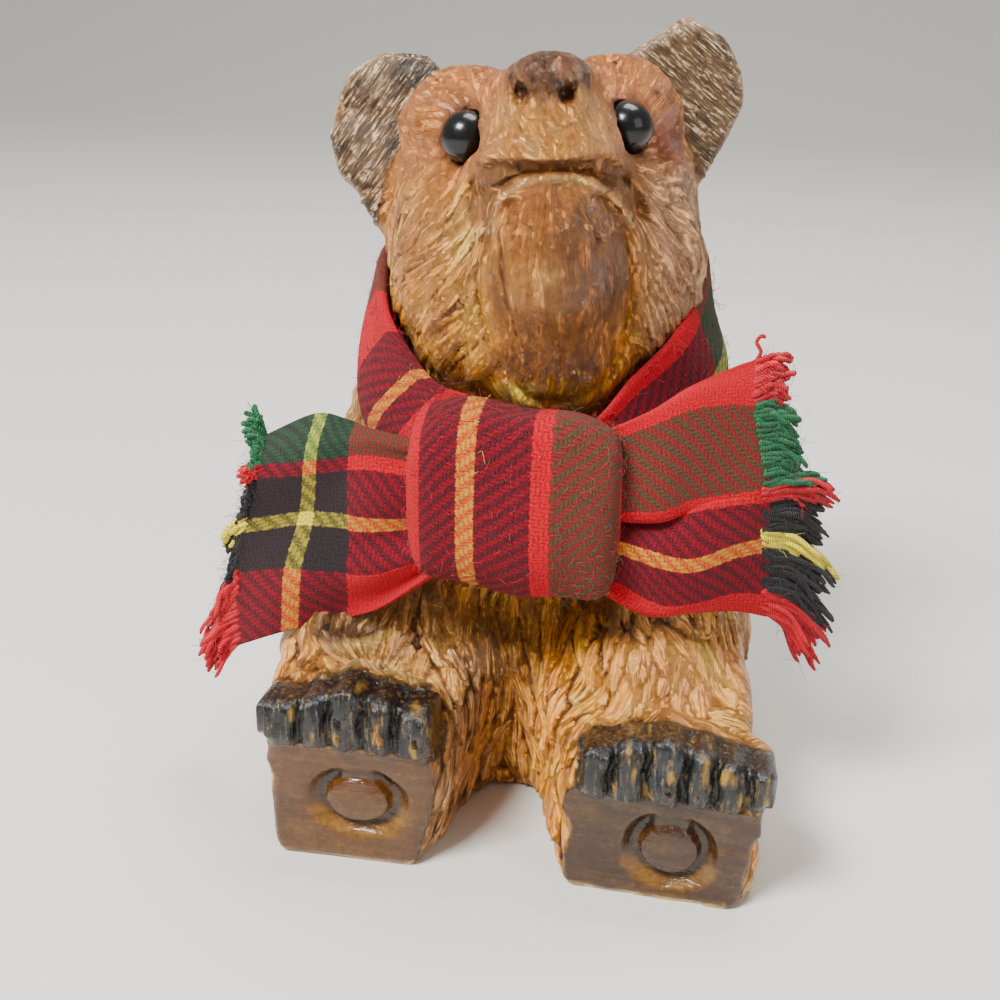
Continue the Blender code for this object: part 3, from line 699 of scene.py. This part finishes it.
def turned_bead(middle, radius, across=48, down=25):
    """A sphere as rings of points from pole to pole, each ring sin(angle) wide at cos(angle) high."""
    around = np.linspace(0, 2 * math.pi, across, endpoint=False)
    fall = np.linspace(0, math.pi, down)[1:-1, None]
    wide, high = np.sin(fall), np.cos(fall) + 0 * around
    rings = np.stack([wide * np.cos(around), wide * np.sin(around), high], -1)
    points = np.concatenate([rings.reshape(-1, 3), [[0, 0, 1], [0, 0, -1]]]) * radius + middle
    top, bottom = len(points) - 2, len(points) - 1
    row = np.arange(down - 3)[:, None] * across
    here, after = np.arange(across), (np.arange(across) + 1) % across
    body = np.stack([row + here, row + across + here, row + across + after, row + after], -1).reshape(-1, 4)
    last = (down - 3) * across
    caps = [(top, k, (k + 1) % across) for k in range(across)]
    caps += [(bottom, last + (k + 1) % across, last + k) for k in range(across)]
    return points, body.tolist() + caps


BEAD_RADIUS = 4.2
bead_gloss = bead_finish()
for name, middle in EYES.items():
    points, faces = turned_bead(middle, BEAD_RADIUS)
    eye = new_piece("bead_" + name, points, faces, bead_gloss)
    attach(eye, "root")
    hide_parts(name)


# The scarf. One strip of woollen twill tartan, 53 mm wide and about 330 mm long, wound once round the
# neck and tied in front. Both ends are ravelled into a fringe. It is held by its knot alone.
# A thread takes up 0.64 mm of the cloth, about 40 to the inch.
THREAD = 0.64
STRIP_WIDTH = 53.0
STRIP_LENGTH = 330.0
RED, BLACK, GREEN, YELLOW = "CC0F24", "29272A", "256B42", "F4E040"
# The stripes of the tartan: where each starts across the strip and along it, in mm, and its colour.
ACROSS = [(0, RED), (8.3, GREEN), (22.3, RED), (24.8, BLACK), (31.5, YELLOW), (34, BLACK), (40.7, RED)]
ALONG = [(0, BLACK), (7.2, YELLOW), (9.7, BLACK), (15.7, RED), (123, GREEN), (142, RED), (158, BLACK),
         (165, YELLOW), (167.5, BLACK), (174, RED), (190, GREEN), (200, RED), (212, GREEN),
         (236, RED), (246, BLACK), (255, YELLOW), (257.5, BLACK), (262, RED)]


def tartan_finish():
    """Woollen 2/2 twill tartan: two threads over, two under, so that slanting ribs show both colours.

    The lengthwise thread shows where (count along - count across) modulo 4 is below 1.5. Wool fuzz blurs
    each thread into the next, has no gloss, and catches a faint rim of light.
    """
    made, shader, add = new_finish("woollen twill tartan")
    weave = add("UVMap", {}, uv_map="weave")
    # The fulled yarn wavers by a third of a thread, in waves of three quarters of a millimetre.
    waver = add("TexNoise", {"Vector": weave, "Scale": 1.3, "Detail": 4.0, "Roughness": 0.7}, "Color",
                noise_dimensions="2D")
    shift = add("VectorMath", {0: waver, 1: (0.5, 0.5, 0.5)}, operation="SUBTRACT")
    shift = add("VectorMath", {0: shift, 1: (0.9, 0.9, 0)}, operation="MULTIPLY")
    bent = add("VectorMath", {0: weave, 1: shift}, operation="ADD")
    along, across, _ = add("SeparateXYZ", {0: bent}).node.outputs
    # Along the strip and across it: the thread's count, its stripe's colour, and its round crest.
    counts, colours, crests = [], [], []
    for way, row, span in ((along, ALONG, STRIP_LENGTH), (across, ACROSS, STRIP_WIDTH)):
        place = add("Math", {0: way, 1: THREAD}, operation="DIVIDE")
        counts.append(add("Math", {0: place}, operation="FLOOR"))
        share = add("Math", {0: counts[-1], 1: THREAD / span}, operation="MULTIPLY")
        colours.append(add("ValToRGB", {"Fac": share}))
        stops = colours[-1].node.color_ramp
        stops.interpolation = "CONSTANT"
        for k, (start, colour) in enumerate(row):
            stop = stops.elements[k] if k < 2 else stops.elements.new(start / span)
            stop.position = start / span
            stop.color = (*hex_colour(colour), 1)
        crest = add("Math", {0: place}, operation="FRACT")
        crest = add("Math", {0: crest, 1: math.pi}, operation="MULTIPLY")
        crests.append(add("Math", {0: crest}, operation="SINE"))
    weft, warp = colours
    step = add("Math", {0: counts[0], 1: counts[1]}, operation="SUBTRACT")
    step = add("Math", {0: step, 1: 4.0}, operation="FLOORED_MODULO")
    over = add("Math", {0: step, 1: 1.5}, operation="LESS_THAN")
    fibre = add("TexNoise", {"Vector": weave, "Scale": 3.4, "Detail": 5.0, "Roughness": 0.75},
                noise_dimensions="2D")
    blur = add("MapRange", {
        "Value": fibre, "From Min": 0.35, "From Max": 0.65, "To Min": 0.1, "To Max": 0.46})
    toward = add("Math", {0: 0.5, 1: over}, operation="SUBTRACT")
    toward = add("Math", {0: toward, 1: blur}, operation="MULTIPLY")
    share = add("Math", {0: toward, 1: 2.0, 2: over}, operation="MULTIPLY_ADD")
    cloth = add("Mix", {"Factor": share, "A": weft, "B": warp}, "Result", data_type="RGBA")
    # Dark fibres stray over a pale thread and dull it.
    darker = add("Mix", {"Factor": 1.0, "A": warp, "B": weft}, "Result",
                 data_type="RGBA", blend_type="DARKEN")
    cloth = add("Mix", {"Factor": 0.48, "A": cloth, "B": darker}, "Result", data_type="RGBA")
    # The threads and their fuzz stand up; the colour is painted darker down between the threads, as painted
    # shade, and varies with the fuzz.
    thread = add("Mix", {"Factor": over, "A": crests[0], "B": crests[1]})
    fuzz = add("Math", {0: fibre, 1: 1.3}, operation="MULTIPLY")
    raised = add("Math", {0: thread, 1: 0.28, 2: fuzz}, operation="MULTIPLY_ADD")
    shade = add("MapRange", {
        "Value": raised, "From Min": 0.55, "From Max": 1.1, "To Min": 0.4, "To Max": 1.25})
    fill(shader, {
        "Base Color": add("HueSaturation", {"Color": cloth, "Value": shade}),
        "Roughness": 0.95, "Specular IOR Level": 0.12, "Sheen Weight": 0.12, "Sheen Roughness": 0.5,
        "Sheen Tint": (*hex_colour("F0A8A0"), 1),
        "Normal": add("Bump", {"Height": raised, "Strength": 0.8, "Distance": 0.00028})})
    return made


def through(rows, at):
    """A smooth curve (Catmull-Rom) through the rows, read at places counted in rows."""
    rows = np.concatenate([2 * rows[:1] - rows[1:2], rows, 2 * rows[-1:] - rows[-2:-1]])
    first = np.clip(np.floor(at).astype(int), 0, len(rows) - 4)
    t = (at - first).reshape(-1, *[1] * (rows.ndim - 1))
    a, b, c, d = (rows[first + k] for k in range(4))
    return b + 0.5 * t * (c - a + t * (2 * a - 5 * b + 4 * c - d + t * (3 * (b - c) + d - a)))


def evenly_through(rows, count):
    """The smooth curve through the rows, read at evenly spaced places from the first to the last."""
    rows = np.array(rows, float)
    return through(rows, np.linspace(0, len(rows) - 1, count))


def grid_faces(rows, columns):
    """Four-sided faces between the neighbours of a grid of points."""
    index = np.arange(rows * columns).reshape(rows, columns)
    return np.stack([index[:-1, :-1], index[1:, :-1], index[1:, 1:], index[:-1, 1:]], -1).reshape(-1, 4)


CLOTH_THICKNESS = 1.1
tartan = tartan_finish()


def cloth_piece(name, grid, weave):
    """A sheet of tartan from a grid of points in mm, with the place in the weave, in mm, as its UV map."""
    made = new_piece(name, grid.reshape(-1, 3), grid_faces(*grid.shape[:2]), tartan)
    layer = made.data.uv_layers.new(name="weave")
    corner = np.empty(len(made.data.loops), np.int32)
    made.data.loops.foreach_get("vertex_index", corner)
    layer.data.foreach_set("uv", weave.reshape(-1, 2)[corner].astype(np.float32).ravel())
    wall = made.modifiers.new("cloth thickness", "SOLIDIFY")
    wall.thickness = CLOTH_THICKNESS * MM
    wall.offset = 0
    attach(made, "root")
    return made


# The band: the strip folded along its middle, the fold upwards, wound round the neck. Each ring of points
# is a cosine high and runs down the outside and up the inside, on an oval tilted back by 22 degrees.
turn = np.radians(np.linspace(-160, 160, 270))[:, None] + math.pi
section = np.linspace(0, 1, 56)[None, :]
tilt = math.radians(22)
degrees = np.degrees(turn)
front = ramp(np.abs(degrees - 180), 95, 150)
high = -np.cos(2 * math.pi * section)
up_wall = (15.6 - 7.0 * front) * high
wave = np.sin(5 * turn + 9 * section) * np.sin(math.pi * section) + 0.5 * np.sin(11 * turn + 3 * section)
crumple = 1.1 * np.sin(3 * turn + 14 * section + 2 * np.sin(4 * turn)) * ramp(high, 0.9, 0.2)
outward = 1.2 + 2.2 * np.cos(math.pi * section) + (0.5 * wave + 0.6 * crumple) * (section < 0.6)
outward = outward - (2.8 + 3.0 * front) * ramp(high, -0.2, 1) - 1.5 * ramp(high, -0.3, -1)
flat_x, flat_y = (30.2 + outward) * np.sin(turn), -(33.8 + outward) * np.cos(turn)
band_grid = np.stack([
    1.3 + flat_x,
    -4 + flat_y * math.cos(tilt) - up_wall * math.sin(tilt),
    79.5 + flat_y * math.sin(tilt) + up_wall * math.cos(tilt) - 5.5 * ramp(degrees, 46, 20),
], -1)
# It turns over at the back, so the stripe at the fold is not the same on both sides.
left_side = ramp(degrees, 120, 245)
at_fold = 46 + 21 * left_side
run = 98 + (degrees - 28) / 304 * 165
band_weave = np.stack([run + 26 * left_side * (0.5 - section), at_fold - 52 * (0.5 - section)], -1)
band = cloth_piece("scarf_band", band_grid, band_weave)

# The left end. Guide points in mm from the top row to the bottom one, each from the free end inwards, and
# the places of the rows and columns in the weave.
LEFT_END = [
    [(-43.4, -31.5, 67.1), (-32.9, -34, 73), (-26.8, -36, 73), (-22.2, -38, 71.9), (-11.1, -39, 70.5)],
    [(-42.9, -35.5, 63.9), (-34.1, -38, 66.1), (-27.7, -39.5, 67.6),
     (-21.9, -40.5, 68.6), (-10.5, -40.5, 67.2)],
    [(-47, -34, 51.4), (-35.9, -37, 54.9), (-28.1, -38.5, 56), (-22.1, -39.5, 56.3), (-10, -40.5, 58)],
    [(-49, -34.5, 42.2), (-38.3, -38, 45.8), (-28.6, -39.5, 47), (-21.5, -41, 47.9), (-9.6, -41, 53)],
    [(-50.4, -31, 25.9), (-40.6, -35, 31.7), (-30.4, -37, 35.7), (-21.4, -39, 39.9), (-9.3, -40, 50)],
]
LEFT_ROWS = [14.5, 22.3, 33.2, 40.9, 52.5]
LEFT_COLUMNS = [0, 8.4, 15.7, 21.5, 33]
# The right end, from the knot outwards to the free end.
RIGHT_END = [
    [(9.4, -38, 71.4), (22.1, -36.5, 77.2), (29.2, -34, 81.9), (35.3, -32, 84.8), (39.6, -30.5, 86.1)],
    [(9, -40, 70), (22.6, -39, 76.5), (29.4, -37, 79.5), (35.4, -35, 80.2), (40, -33, 79.8)],
    [(9.2, -41.5, 63.5), (24.3, -42, 63.7), (30.5, -39.5, 64.8), (36.8, -36.5, 65.2), (43.1, -33.5, 65.8)],
    [(9.6, -41, 61.3), (24.7, -41, 60.4), (30.7, -40, 62.4), (37, -37, 63.5), (43.3, -33.5, 63.3)],
    [(9.2, -41.5, 60), (24, -44, 56.9), (31, -42.5, 55.2), (37.9, -38, 56.3), (43.6, -34, 56.2)],
    [(10.1, -41, 55), (25.3, -43, 47.9), (31.8, -42, 47.8), (38.2, -37.5, 47.8), (44.7, -33, 46.2)],
    [(10.1, -39.5, 52.1), (23.6, -40, 44.8), (31.9, -39, 44.7), (38.9, -35.5, 43.7), (44.6, -31.5, 41.5)],
]
RIGHT_ROWS = [0.4, 8.3, 22.3, 24.8, 32.75, 40.9, 45]
RIGHT_COLUMNS = [296, 310, 317, 324, 330]


def end_of_scarf(net, row_places, column_places, knot_side, shift):
    """An end as a grid of points and its place in the weave, with soft gathers that die out from the knot.

    The grid is a smooth curve down the guide points, then one across it. Two sine waves push it in and out.
    """
    rows, columns = 110, 90
    grid = evenly_through(evenly_through(net, rows).swapaxes(0, 1), columns).swapaxes(0, 1)
    down = evenly_through(np.array(row_places)[:, None], rows)
    along = evenly_through(np.array(column_places)[:, None], columns)
    s = np.linspace(0, 1, columns)[None, :]
    t = np.linspace(0, 1, rows)[:, None]
    near_knot = (1 - s if knot_side == "first" else s) ** 2
    gather = np.sin(2 * math.pi * (3.1 * t + 0.4 * s + shift)) * 1.2 * near_knot
    ripple = 0.45 * np.sin(2 * math.pi * (1.3 * t + 1.1 * s + shift * 2))
    grid[..., 1] += gather + ripple
    return grid, np.stack([along.T + 0 * down, down + 0 * along.T], -1)


left_grid, left_weave = end_of_scarf(LEFT_END, LEFT_ROWS, LEFT_COLUMNS, "last", 0.15)
right_grid, right_weave = end_of_scarf(RIGHT_END, RIGHT_ROWS, RIGHT_COLUMNS, "first", 0.6)
left_end = cloth_piece("scarf_end_left", left_grid, left_weave)
right_end = cloth_piece("scarf_end_right", right_grid, right_weave)

# The knot: the strip passed once over itself, so it is a short fat loop that closes on what it holds. The
# sheet starts and ends at the back. Each turn of it is a rounded oval, slimmer towards both sides.
side = np.linspace(-1, 1, 120)[None, :]
round_it = np.linspace(-math.pi, math.pi, 150)[:, None]
girth = 0.22 + 0.78 * np.clip(1 - np.abs(side) ** 4.5, 0, 1) ** 0.5
pleat = 0.05 * np.sin(9 * side + 1.5 * np.cos(round_it) + 0.8) * np.cos(round_it) ** 2 * np.abs(side)
crease = 1 + 0.03 * np.sin(5 * round_it + 3 * side) + 0.025 * np.sin(3 * math.pi * side + round_it) + pleat
upward = np.sign(np.sin(round_it)) * np.abs(np.sin(round_it)) ** 0.85
forward = np.sign(np.cos(round_it)) * np.abs(np.cos(round_it)) ** 0.75
knot_grid = np.stack([
    2.4 + 16.6 * np.sin(side * math.pi / 2 * 0.98) * (1 + 0.02 * np.cos(round_it)),
    -41.3 - 7.6 * girth * crease * forward,
    63.2 - 15.3 * girth * crease * (1 - 0.06 * side**2) * upward - 0.96 * side,
], -1)
# The stripes lie as the strip's own length goes round the middle of the knot, from 22 mm along it.
middle_ring = knot_grid[:, knot_grid.shape[1] // 2]
walked = np.linalg.norm(np.diff(middle_ring, axis=0), axis=1).cumsum()
knot_weave = np.stack([
    22 + np.append(0, walked)[:, None] + 0 * side,
    32.7 - 1.05 * (16.6 * side * 1.15 + 4.9) + 0 * round_it,
], -1)
knot = cloth_piece("scarf_knot", knot_grid, knot_weave)
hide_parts("tartan_scarf")


# The fringe. The cloth's own lengthwise yarns, left bare where the crosswise ones were drawn out. Each
# yarn is 0.5 mm of loosely spun wool and keeps the colour of its stripe.
def wool_finish():
    """Loose two-ply wool: no gloss, a slanting hollow between the plies with painted shade in it, and a hazy
    rim.
    """
    made, shader, add = new_finish("spun wool yarn")
    dyed = add("Attribute", {}, "Color", attribute_name="yarn")
    ply = add("Attribute", {}, "Vector", attribute_name="ply")
    strand = add("TexWave", {"Vector": ply, "Scale": 1.0, "Distortion": 1.5, "Detail": 2.0}, "Fac",
                 bands_direction="DIAGONAL")
    shade = add("MapRange", {"Value": strand, "To Min": 0.5, "To Max": 1.15})
    fill(shader, {
        "Base Color": add("HueSaturation", {"Color": dyed, "Value": shade}),
        "Roughness": 0.95, "Specular IOR Level": 0.1, "Sheen Weight": 0.15, "Sheen Roughness": 0.5,
        "Normal": add("Bump", {"Height": strand, "Strength": 0.7, "Distance": 0.0003})})
    return made


def tubes(paths, thick, colours, sides):
    """Round yarns: a ring of points about each point of each path, half as thick at the far tip.

    The ring stands across the path's own direction: point = path + thick * (cos a * side + sin a * up).
    Each point keeps its yarn's colour, and its place along the yarn and round it for the ply.
    """
    count, steps = paths.shape[:2]
    ahead = np.gradient(paths, axis=1)
    ahead /= np.maximum(np.linalg.norm(ahead, axis=2, keepdims=True), 1e-9)
    side_of = np.cross(ahead, np.array([0.31, -0.27, 0.91]))
    side_of /= np.maximum(np.linalg.norm(side_of, axis=2, keepdims=True), 1e-9)
    up_of = np.cross(side_of, ahead)
    angle = np.linspace(0, 2 * math.pi, sides, endpoint=False)
    t = np.linspace(0, 1, steps)
    taper = np.minimum(1, 8 * (1 - t) + 0.5)[None, :, None, None] * np.array(thick).reshape(-1, 1, 1, 1)
    ring = np.cos(angle)[:, None] * side_of[:, :, None] + np.sin(angle)[:, None] * up_of[:, :, None]
    points = paths[:, :, None] + taper * ring
    k, i, j = np.meshgrid(np.arange(count), np.arange(steps - 1), np.arange(sides), indexing="ij")
    after = (j + 1) % sides
    base = k * steps * sides
    here, below = base + i * sides, base + (i + 1) * sides
    faces = np.stack([here + j, here + after, below + after, below + j], -1).reshape(-1, 4).tolist()
    first = np.arange(count)[:, None] * steps * sides
    faces += (first + np.arange(sides)[::-1]).tolist()
    faces += (first + (steps - 1) * sides + np.arange(sides)).tolist()
    length = np.linalg.norm(np.diff(paths, axis=1), axis=2).cumsum(1)
    length = np.concatenate([np.zeros((count, 1)), length], axis=1)
    ply = np.zeros((count, steps, sides, 3))
    ply[..., 0] = length[:, :, None] * 1.3
    ply[..., 1] = angle / math.pi
    dye = np.repeat(colours, steps * sides, axis=0)
    return points.reshape(-1, 3), faces, {"yarn": dye, "ply": ply.reshape(-1, 3)}


def stripe_of(place, row):
    """The colour of the stripe that holds each place, from a row of stripes."""
    tones = np.array([hex_colour(colour) for _, colour in row])
    return tones[np.searchsorted([start for start, _ in row], place, side="right") - 1]


# How far each stripe's yarns reach beyond the cloth, in mm: place across the strip, then x, y and z.
LEFT_REACH = [(14.5, -1.6, -0.5, 7), (17, -3.6, 0, 4), (21.5, -1.2, -0.5, -0.5), (22.6, -3.2, -1, -1.4),
              (24.8, -2.6, -1, -1.8), (25.6, -1.4, -0.2, -0.8), (31, -1.4, 0, -1.4), (31.8, -5.8, 0.5, -4.6),
              (34, -5.2, 1, -6), (34.6, -1.8, 0.5, -2.6), (40.2, -2.2, 1, -4), (41, -4.8, 2.5, -9),
              (46, -8, 3.5, -11), (52.5, -8.6, 3, -10.4)]
RIGHT_REACH = [(0.4, 5.2, 3.2, 0.3), (8, 5, 3.4, -0.4), (8.6, 5.2, 3, -0.8), (12, 6.6, 4, -3.2),
               (17, 6, 4.2, -2.4), (20, 5.6, 4, -1.6), (22.2, 9, 5.5, -0.4), (22.8, 10, 7, -2.6),
               (24.8, 10.2, 7.2, -4), (25.5, 9.6, 7.4, -4), (31.2, 10, 8, -6.4), (31.8, 12.6, 9.6, -10.6),
               (34, 13, 9.8, -12), (34.6, 11, 8.4, -8), (40.4, 11, 8, -10), (41.2, 10.2, 6.6, -9.8),
               (45, 9, 5.6, -13)]
# The radius of a single wool hair, drawn about twice as thick as the real one so that it shows.
HAIR = 0.04


def fringe(edge, places, reach, seed, strands, thick):
    """Yarns that leave the cloth's edge and hang to their reach, each with a waver of its own.

    point(t) = edge + reach * t + (0, 0, droop) * sin(pi t) + waver * t, for t from 0 to 1.
    """
    chance = np.random.default_rng(seed)
    order = np.argsort(places)
    lowest, highest = places.min() + 0.2, places.max() - 0.2
    at = np.sort(chance.uniform(lowest, highest, strands))
    at = np.floor(at / THREAD) * THREAD + THREAD * (0.5 + chance.uniform(-0.3, 0.3, strands))
    at = np.clip(at, lowest, highest)
    start = np.stack([np.interp(at, places[order], edge[order, k]) for k in range(3)], 1)
    table = np.array(reach)
    far = np.stack([np.interp(at, table[:, 0], table[:, k]) for k in (1, 2, 3)], 1)
    far *= chance.uniform(0.6, 1.1, (strands, 1))
    far += chance.normal(0, 0.1, (strands, 3)) * np.linalg.norm(far, axis=1, keepdims=True)
    # Neighbours cling together in tufts of five.
    tuft = np.arange(strands) // 5
    middle = np.stack([np.bincount(tuft, (start + far)[:, k]) / np.bincount(tuft) for k in range(3)], 1)[tuft]
    far += 0.25 * (middle - start - far)
    t = np.linspace(-0.12, 1, 15)[None, :, None]
    paths = start[:, None] + far[:, None] * t
    droop = 0.12 * np.linalg.norm(far, axis=1)[:, None, None]
    paths += np.array([0, 0, 1]) * droop * np.sin(math.pi * np.clip(t, 0, 1))
    phase, pace = chance.uniform(0, 6.3, (2, strands, 1, 3)), chance.uniform(5, 11, (strands, 1, 3))
    paths += 0.42 * np.clip(t, 0, 1) * np.sin(pace * t + phase[0])
    paths += chance.uniform(-0.35, 0.35, (strands, 1, 1)) * np.array([0, 1, 0])
    tone = stripe_of(at, ACROSS) * chance.uniform(0.75, 1.35, (strands, 1))
    yarns = tubes(paths, chance.uniform(0.8, 1.15, strands) * thick, tone, 6)
    # Four short hairs stand off each yarn.
    count = 4 * strands
    root = paths[np.repeat(np.arange(strands), 4), chance.integers(4, 15, count)]
    lie = chance.normal(0, 1, (count, 1, 3))
    lie /= np.linalg.norm(lie, axis=2, keepdims=True)
    curl = chance.normal(0, 0.6, (count, 1, 3))
    s = np.linspace(0, 1, 5)[None, :, None]
    hairs = root[:, None] + (lie * s + curl * s**2) * chance.uniform(0.8, 2.2, (count, 1, 1))
    hairs = tubes(hairs, np.full(count, HAIR), np.repeat(tone, 4, axis=0) * 1.4 + 0.03, 3)
    faces = yarns[1] + [[corner + len(yarns[0]) for corner in face] for face in hairs[1]]
    values = {key: np.concatenate([yarns[2][key], hairs[2][key]]) for key in yarns[2]}
    return np.concatenate([yarns[0], hairs[0]]), faces, values


def yarn_piece(name, yarns):
    """A piece of the scarf made of yarns or fibres, from their points, faces and values."""
    points, faces, values = yarns
    made = new_piece(name, points, faces, yarn_wool, values)
    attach(made, "root")
    return made


yarn_wool = wool_finish()
yarns = fringe(left_grid[:, 0], left_weave[:, 0, 1], LEFT_REACH, 3, 260, 0.5)
fringe_left = yarn_piece("fringe_left", yarns)
yarns = fringe(right_grid[:, -1], right_weave[:, -1, 1], RIGHT_REACH, 4, 330, 0.48)
fringe_right = yarn_piece("fringe_right", yarns)


# Wool fibres that stand off the cloth, and one thread pulled loose at the top of the right end.
def standing_fibres(grid, weave, count, seed, out):
    """Fibres 1 to 3 mm long that leave the cloth near its surface and curl back along it.

    point(t) = root + up * (0.35 + 0.34 length sin 2.2t) + 0.7 length * (lie * t + curl), for t from 0 to 1.
    """
    chance = np.random.default_rng(seed)
    i = chance.integers(1, grid.shape[0] - 1, count)
    j = chance.integers(1, grid.shape[1] - 1, count)
    up_of = np.cross(grid[i + 1, j] - grid[i - 1, j], grid[i, j + 1] - grid[i, j - 1])
    up_of *= out / np.maximum(np.linalg.norm(up_of, axis=1, keepdims=True), 1e-9)
    lie = chance.normal(0, 1, (count, 3))
    lie -= up_of * (lie * up_of).sum(1, keepdims=True) * 0.8
    lie /= np.linalg.norm(lie, axis=1, keepdims=True)
    t = np.linspace(0, 1, 6)[None, :, None]
    length = chance.uniform(1.0, 3.0, (count, 1, 1))
    curl = np.cross(up_of, lie)[:, None] * np.sin(chance.uniform(1, 5, (count, 1, 1)) * t) * 0.5
    risen = up_of[:, None] * (0.35 + 0.34 * length * np.sin(2.2 * t))
    paths = grid[i, j][:, None] + risen + (lie[:, None] * t + curl) * length * 0.7
    over = (np.floor(weave[i, j, 0] / THREAD) - np.floor(weave[i, j, 1] / THREAD)) % 4 < 2
    tone = np.where(over[:, None], stripe_of(weave[i, j, 1], ACROSS), stripe_of(weave[i, j, 0], ALONG))
    return tubes(paths, np.full(count, HAIR), tone * 1.5 + 0.03, 3)


for name, grid, weave, count, seed, out in (
    ("fibres_left", left_grid, left_weave, 900, 911, -1),
    ("fibres_right", right_grid, right_weave, 1100, 1112, -1),
    ("fibres_knot", knot_grid, knot_weave, 900, 911, 1),
    ("fibres_band", band_grid, band_weave, 2200, 2211, 1),
):
    yarn_piece(name, standing_fibres(grid, weave, count, seed, out))
loose = [(39.2, -30.2, 85.6), (40, -29.6, 87.2), (39.2, -29, 88.6), (39.9, -28.6, 89.6), (40.6, -28.4, 89.3)]
pulled = tubes(evenly_through(loose, 18)[None], np.array([0.34]), np.array([hex_colour(RED)]), 6)
pulled_thread = yarn_piece("pulled_thread", pulled)


# The setting of the picture: a pale paper floor, two soft lamps and a window, and a camera that
# looks a little down on the figure.
def studio_paper():
    """Matt pale paper, which shows soft shadows and no gloss."""
    made, shader, add = new_finish("matt paper")
    place = add("TexCoord", {}, "Object")
    pulp = add("TexNoise", {"Vector": place, "Scale": 700.0, "Detail": 2.0})
    fill(shader, {
        "Base Color": (*hex_colour("D9D6CF"), 1), "Roughness": 0.85,
        "Normal": add("Bump", {"Height": pulp, "Strength": 0.1, "Distance": 0.0002})})
    return made


# The paper lies flat to 0.9 m behind the figure, then rises in a quarter circle.
bend = np.linspace(0, math.pi / 2, 25)
depth_back = np.concatenate([[-3000], 900 + 900 * np.sin(bend), [1800]])
rise_up = np.concatenate([[0], 900 - 900 * np.cos(bend), [2600]])
sweep = np.stack(np.broadcast_arrays(np.array([[-3000.0], [3000.0]]), depth_back, rise_up), -1)
floor = new_piece("paper_floor", sweep.reshape(-1, 3), grid_faces(2, len(bend) + 2), studio_paper())

# The camera stands 9 degrees to one side and 22 above, 265 mm away, turned by 1 degree, and sees 40 degrees.
aim, distance = Vector((-6, -5, 48)), 265
from_side, from_above, roll, field = (math.radians(angle) for angle in (9, 22, 1, 40))
back = Vector((
    math.sin(from_side) * math.cos(from_above),
    -math.cos(from_side) * math.cos(from_above),
    math.sin(from_above),
))
level = (-back).cross(Vector((0, 0, 1))).normalized()
rise = level.cross(-back)
right_hand = level * math.cos(roll) + rise * math.sin(roll)
head_up = rise * math.cos(roll) - level * math.sin(roll)
camera = bpy.data.objects.new("camera", bpy.data.cameras.new("camera"))
bpy.context.scene.collection.objects.link(camera)
turned_to = Matrix((right_hand, head_up, back)).transposed().to_4x4()
camera.matrix_world = Matrix.Translation((aim + back * distance) * MM) @ turned_to
camera.data.sensor_width = 36
camera.data.lens = 18 / math.tan(field / 2)
camera.data.clip_start = 0.01
bpy.context.scene.camera = camera


def soft_lamp(name, place, size, power):
    """A square of light at a place in metres that faces the figure."""
    light = bpy.data.lights.new(name, "AREA")
    light.shape = "RECTANGLE"
    light.size, light.size_y = size
    light.energy = power
    made = bpy.data.objects.new(name, light)
    bpy.context.scene.collection.objects.link(made)
    made.location = Vector(place)
    made.rotation_euler = (Vector((0, 0, 0.06)) - Vector(place)).to_track_quat("-Z", "Y").to_euler()


soft_lamp("window", (-0.35, -0.5, 0.8), (0.32, 0.26), 19)
soft_lamp("fill", (0.8, -0.5, 0.5), (0.6, 0.6), 2.2)
soft_lamp("overhead", (0.1, 0.25, 0.9), (0.5, 0.4), 7)
air = bpy.data.worlds.new("studio")
air.use_nodes = True
fill(air.node_tree.nodes["Background"], {"Color": (1.0, 0.98, 0.95, 1), "Strength": 0.42})
bpy.context.scene.world = air
